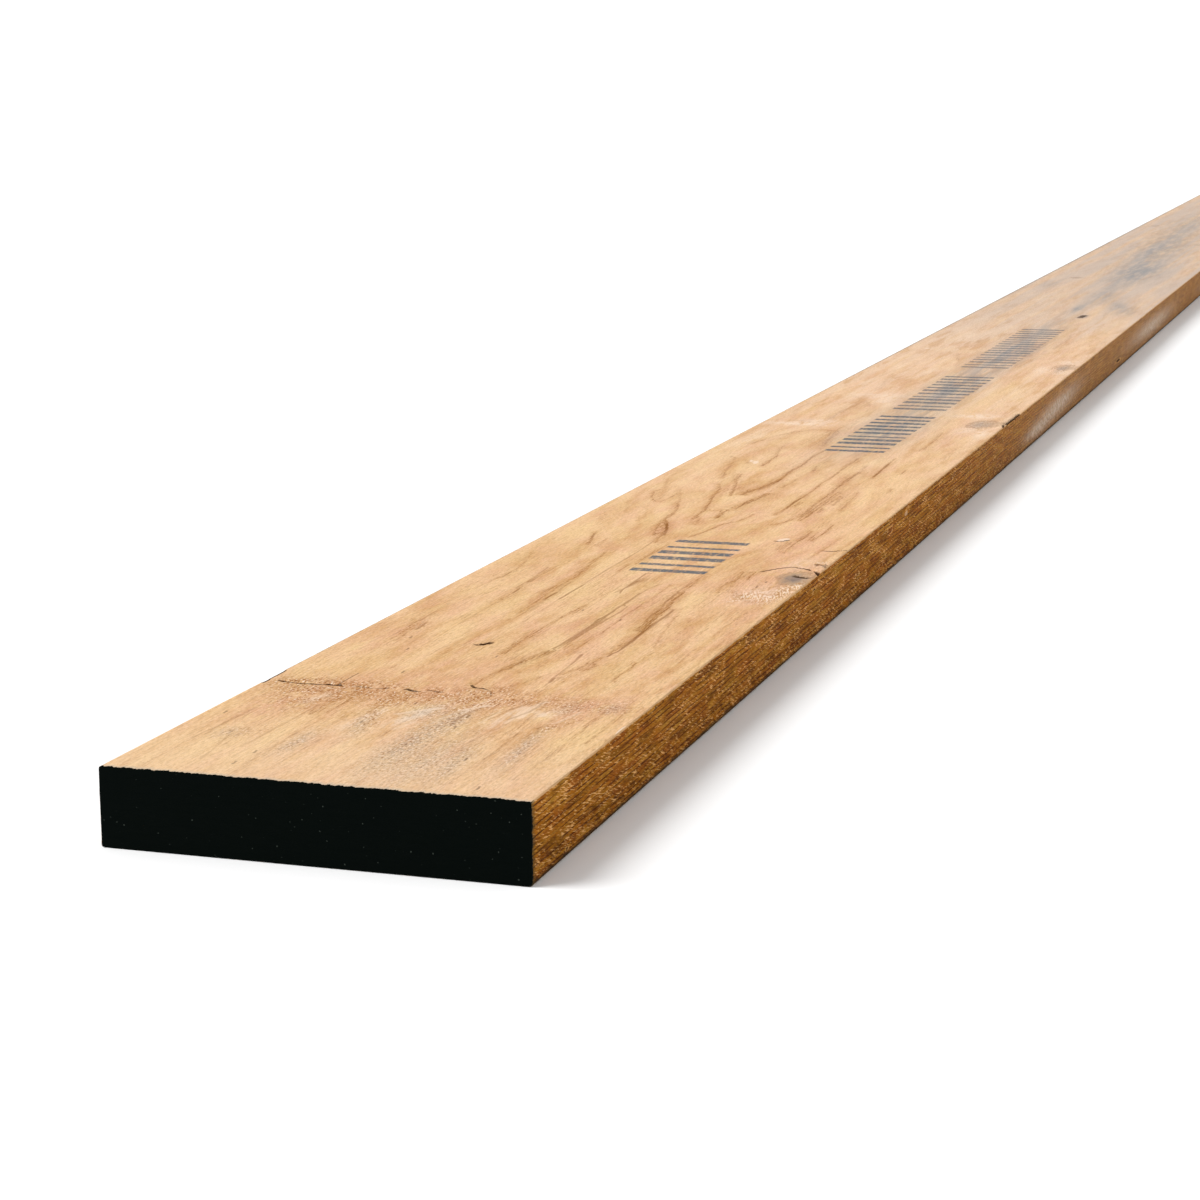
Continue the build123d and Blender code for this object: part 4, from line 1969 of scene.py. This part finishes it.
    def _bars(self, finish: Finish, colour: Value) -> Value:
        """Prints rows of plain bars on the upper face, in thin grey ink that the grain shows through.

        Args:
            finish: The material.
            colour: The colour so far.

        Returns:
            The new colour.
        """
        worn = finish.noise(finish.cells(9, 3.0, 14.0), 3.0, 0.7).between(0.30, 0.56)
        inside = finish.y.between(self.bar_low, self.bar_low + self.bar_blur)
        inside = inside * finish.y.between(self.bar_high, self.bar_high - self.bar_blur)
        shown = sum(self._bar_row(finish, row) for row in self.bar_rows)
        return finish.blend(colour, self.ink, shown * inside * self._on_top(finish) * (0.45 + worn * 0.45))

    def _bar_row(self, finish: Finish, row: BarRow) -> Value:
        """How strongly one row's ink shows, in bars of different widths.

        Args:
            finish: The material.
            row: The row.

        Returns:
            The strength.
        """
        step = (self._along(finish) - row.start) / row.pitch
        share = step.fraction()
        width = finish.chance(step.whole()) * 0.30 + 0.32
        edge = self.ink_blur / row.pitch
        bar = (share - width).between(edge, -edge) * share.between(0, 2 * edge)
        reach = step.between(-0.001, 0.001) * step.between(row.count + 0.001, row.count - 0.001)
        return bar * reach * row.strength


@dataclass(frozen=True)
class SawnEdge(WoodFinish):
    """The sawn edge: stacked veneers with dark glue lines and torn fibres."""

    amber: Colour = tint(162, 100, 22)
    honey: Colour = tint(180, 124, 46)
    umber: Colour = tint(124, 72, 12)
    olive: Colour = tint(130, 94, 18)
    glue: Colour = tint(78, 40, 4)
    # Pale cut fibres, brightened to stand in for their glints: partly painted highlight
    glint: Colour = tint(228, 172, 106)
    russet: Colour = tint(160, 86, 26)
    skin: Colour = tint(224, 182, 134)
    scuffed: Colour = tint(226, 210, 194)
    # Painted sheen: the greyer colour that the edge takes towards the far end
    far_sheen_tone: Colour = tint(164, 126, 88)
    # Painted contact shade along the foot of the edge
    foot_shade: Colour = tint(46, 40, 28)
    # Painted shade: the dark inside holes and nicks
    void: Colour = tint(34, 18, 8)
    stroke_lean: float = 15.0
    tear_lean: float = 28.0
    spark_lean: float = 8.0

    def material(self) -> bpy.types.Material:
        """Makes the edges' material.

        Returns:
            The material.
        """
        finish = Finish("sawn_edge", "xz")
        glue = self._glue_lines(finish)
        fibre = finish.noise(finish.cells(18, 0.6, 1.0), 4.0, 0.75)
        strokes = finish.noise(finish.leaning(9.0, 1.0, self.stroke_lean), 4.0, 0.66)
        ridges = finish.noise(finish.leaning(15, 3.2, self.tear_lean, 3.0), 3.0, 0.6)
        low = finish.z.between(19, 9)
        colour = finish.shade(self._stack(finish, glue), 0.54 + fibre * 0.90)
        colour = self._tears(finish, colour, strokes)
        colour = finish.blend(colour, self.glue, ridges.between(0.46, 0.36) * low * 0.55)
        # Pale flakes low down, partly painted glints
        flake = (ridges * 0.5 + strokes * 0.5).between(0.56, 0.64)
        colour = finish.blend(colour, self.glint, flake * low * 0.5)
        colour = self._damage(finish, colour, ridges + fibre * 0.5, strokes)
        colour = self._rims(finish, colour, fibre)
        colour = self.sealer.lap(finish, colour, self.sealer.moss, 6.0, 0.65)
        finish.set("Base Color", colour)
        finish.set("Roughness", 0.6 + fibre * 0.2)
        finish.set("Specular IOR Level", 0.03)
        finish.bump(fibre * 0.4 + strokes * 0.9 + ridges * low * 1.6 - glue * 0.5, 0.45)
        return finish.material

    def _tears(self, finish: Finish, colour: Value, strokes: Value) -> Value:
        """Speckles the edge with dark tears and bright cut fibres, pale wood with painted glints on it,
        crisper near the near end.

        Args:
            finish: The material.
            colour: The colour so far.
            strokes: Noise that leans as the saw's strokes do.

        Returns:
            The new colour.
        """
        crowd = finish.noise(finish.cells(36, 9, 5.0), 2.0) - 0.5
        sparks = finish.noise(finish.leaning(7.0, 0.8, self.spark_lean, 7.0), 2.0, 0.6)
        tear = strokes + crowd * 0.34
        crisp = self._along(finish).between(1800, 800) * 0.45 + 0.55
        colour = finish.blend(colour, self.glue, tear.between(0.45, 0.32) * crisp * 0.50)
        colour = finish.blend(colour, self.glue, sparks.between(0.42, 0.30) * 0.35)
        # Pale cut fibres, partly painted glints
        colour = finish.blend(colour, self.glint, (sparks + crowd * 0.2).between(0.62, 0.74) * 0.35)
        return finish.blend(colour, self.glint, tear.between(0.59, 0.68) * crisp * 0.95)

    def _damage(self, finish: Finish, colour: Value, chatter: Value, strokes: Value) -> Value:
        """Scuffs the edge, paints a sheen that greys it towards the far end, and paints a pale glint round
        each hole and shade inside it.

        Args:
            finish: The material.
            colour: The colour so far.
            chatter: Noise that breaks up the scuffs.
            strokes: Noise that leans as the saw's strokes do.

        Returns:
            The new colour.
        """
        scuff = finish.value_on_mesh("scuff") * (0.50 + chatter.between(0.62, 0.86) * 0.50)
        colour = finish.blend(colour, self.scuffed, scuff)
        # Painted sheen, greyer towards the far end
        colour = finish.blend(colour, self.far_sheen_tone, self._along(finish).between(950, 2000) * 0.42)
        hole = finish.value_on_mesh("hole") + (strokes - 0.5) * 0.9
        # A painted glint round each hole's lip, and painted shade inside the hole
        colour = finish.blend(colour, self.glint, abs(hole - 1.15).between(0.30, 0.05) * 0.5)
        return finish.blend(colour, self.void, hole.between(1.05, 0.75) * 0.9)

    def _stack(self, finish: Finish, glue: Value) -> Value:
        """The veneers' own colours, with the glue lines between them.

        Args:
            finish: The material.
            glue: Where the glue lines show.

        Returns:
            The colour.
        """
        tone = finish.noise(finish.cells(60, 4.5, 8.0), 3.0, 0.62)
        colour = finish.blend(self.umber, self.amber, tone.between(0.34, 0.50))
        colour = finish.blend(colour, self.honey, tone.between(0.52, 0.70))
        hue = finish.noise(finish.cells(34, 7, 9.0), 2.0)
        colour = finish.blend(colour, self.russet, hue.between(0.52, 0.68) * 0.45)
        colour = finish.blend(colour, self.olive, hue.between(0.46, 0.34) * 0.3)
        return finish.blend(colour, self.glue, glue)

    def _glue_lines(self, finish: Finish) -> Value:
        """Dark lines between the veneers, which sway and break off.

        Args:
            finish: The material.

        Returns:
            How strongly they show.
        """
        sway = finish.noise(finish.cells(90, 10, 2.0), 4.0, 0.6) - 0.5
        stack = (finish.z + sway * 3.4) / self.stock.veneer
        gap = abs(stack.fraction() - 0.5)
        broken = finish.noise(finish.cells(45, 2.6, 4.0), 3.0, 0.6)
        return gap.between(0.29, 0.44) * broken.between(0.34, 0.54) * 0.90

    def _rims(self, finish: Finish, colour: Value, fibre: Value) -> Value:
        """The outer veneer's pale skin along the top, its dark nicks with painted shade in them, and painted
        contact shade along the foot.

        Args:
            finish: The material.
            colour: The colour so far.
            fibre: Fine noise along the edge.

        Returns:
            The new colour.
        """
        ragged = finish.noise(finish.cells(14, 6, 15.0), 3.0, 0.65) - 0.5
        from_top = self.stock.thickness - finish.z
        nick = finish.noise(finish.cells(7, 9, 16.0), 2.0, 0.6).between(0.62, 0.70)
        nick = nick * from_top.between(3.6, 2.6) * from_top.between(1.2, 1.8)
        pale = finish.shade(self.skin, 0.80 + fibre * 0.4)
        colour = finish.blend(colour, pale, (from_top + ragged * 1.4).between(1.5, 0.8) * 0.8)
        # Painted shade in the nicks
        colour = finish.blend(colour, self.void, nick * 0.8)
        # Painted contact shade along the foot
        return finish.blend(colour, self.foot_shade, (finish.z + ragged * 2.4).between(3.4, 1.4) * 0.88)


@dataclass(frozen=True)
class Viewpoint:
    """Where the photograph was taken from, beside and above the near end."""

    stock: Stock
    back: float = 1229.5
    aside: float = -549.3
    above: float = 366.0
    yaw: float = 17.705
    pitch: float = -11.433
    roll: float = -0.217
    lens: float = 81.0

    def place(self) -> bpy.types.Object:
        """Adds the camera.

        Returns:
            The camera.
        """
        yaw, pitch, roll = (math.radians(angle) for angle in (self.yaw, self.pitch, self.roll))
        ahead = Vector((math.cos(pitch) * math.cos(yaw), math.cos(pitch) * math.sin(yaw), math.sin(pitch)))
        level = ahead.cross(Vector((0, 0, 1))).normalized()
        upright = level.cross(ahead)
        right = level * math.cos(roll) + upright * math.sin(roll)
        up = upright * math.cos(roll) - level * math.sin(roll)
        turn = Matrix((right, up, -ahead)).transposed()
        spot = Vector((self.stock.near - self.back, self.aside, self.stock.thickness + self.above)) * MM
        lens = bpy.data.cameras.new("viewpoint")
        lens.lens = self.lens
        lens.sensor_width = 36.0
        lens.clip_end = 200.0
        camera = bpy.data.objects.new("viewpoint", lens)
        camera.matrix_world = Matrix.Translation(spot) @ turn.to_4x4()
        bpy.context.scene.collection.objects.link(camera)
        bpy.context.scene.camera = camera
        return camera


@dataclass(frozen=True)
class Studio:
    """A pale floor and soft light."""

    floor_size: float = 300.0
    floor_drop: float = 0.2
    sky: float = 0.60
    horizon: float = 1.15
    key: float = 2.75
    key_from: tuple[float, float, float] = (-0.25, 0.62, 0.75)
    key_spread: float = 35.0

    def light(self) -> None:
        """Adds the soft sky, white low down, and one broad lamp high on the plank's left."""
        world = bpy.data.worlds.new("studio")
        bpy.context.scene.world = world
        world.use_nodes = True
        nodes = world.node_tree.nodes
        links = world.node_tree.links
        way = nodes.new("ShaderNodeTexCoord")
        split = nodes.new("ShaderNodeSeparateXYZ")
        fade = nodes.new("ShaderNodeMapRange")
        for end, height, strength in (("Min", 0.08, self.horizon), ("Max", 0.35, self.sky)):
            fade.inputs[f"From {end}"].default_value = height
            fade.inputs[f"To {end}"].default_value = strength
        links.new(way.outputs["Generated"], split.inputs[0])
        links.new(split.outputs["Z"], fade.inputs["Value"])
        links.new(fade.outputs[0], nodes["Background"].inputs["Strength"])
        nodes["Background"].inputs["Color"].default_value = (1, 1, 1, 1)
        lamp = bpy.data.lights.new("key", "SUN")
        lamp.energy = self.key
        lamp.angle = math.radians(self.key_spread)
        key = bpy.data.objects.new("key", lamp)
        key.rotation_mode = "QUATERNION"
        key.rotation_quaternion = Vector(self.key_from).to_track_quat("Z", "Y")
        bpy.context.scene.collection.objects.link(key)
        bpy.context.scene.view_settings.view_transform = "Standard"

    def floor(self) -> bpy.types.Object:
        """Adds the floor.

        Returns:
            The floor, which is not part of the object.
        """
        bpy.ops.object.select_all(action="DESELECT")
        bpy.ops.mesh.primitive_plane_add(size=self.floor_size, location=(0, 0, -self.floor_drop * MM))
        floor = bpy.context.object
        floor.name = "floor"
        finish = Finish("floor")
        finish.set("Base Color", (0.93, 0.93, 0.93, 1))
        finish.set("Roughness", 0.9)
        finish.set("Specular IOR Level", 0.1)
        floor.data.materials.append(finish.material)
        return floor


def main() -> None:
    """Builds the plank, its finishes and the studio."""
    logging.basicConfig(level=logging.INFO, format="%(name)s: %(message)s")
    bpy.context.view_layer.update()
    stock = Stock.from_node("plank")
    plank = PlankMesh(stock, upper_face(stock), under_face(stock), sawn_edges()).build()
    sealer = Sealer(stock)
    finishes = {
        Slot.VENEER: PeeledVeneer(stock, sealer),
        Slot.EDGE: SawnEdge(stock, sealer),
        Slot.SEALER: sealer,
    }
    for slot in Slot:
        plank.data.materials.append(finishes[slot].material())
    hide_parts("plank")
    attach(plank, "root")
    log.info("%s: %d faces", plank.name, len(plank.data.polygons))
    studio = Studio()
    studio.light()
    studio.floor()
    Viewpoint(stock).place()


if __name__ == "__main__":
    main()
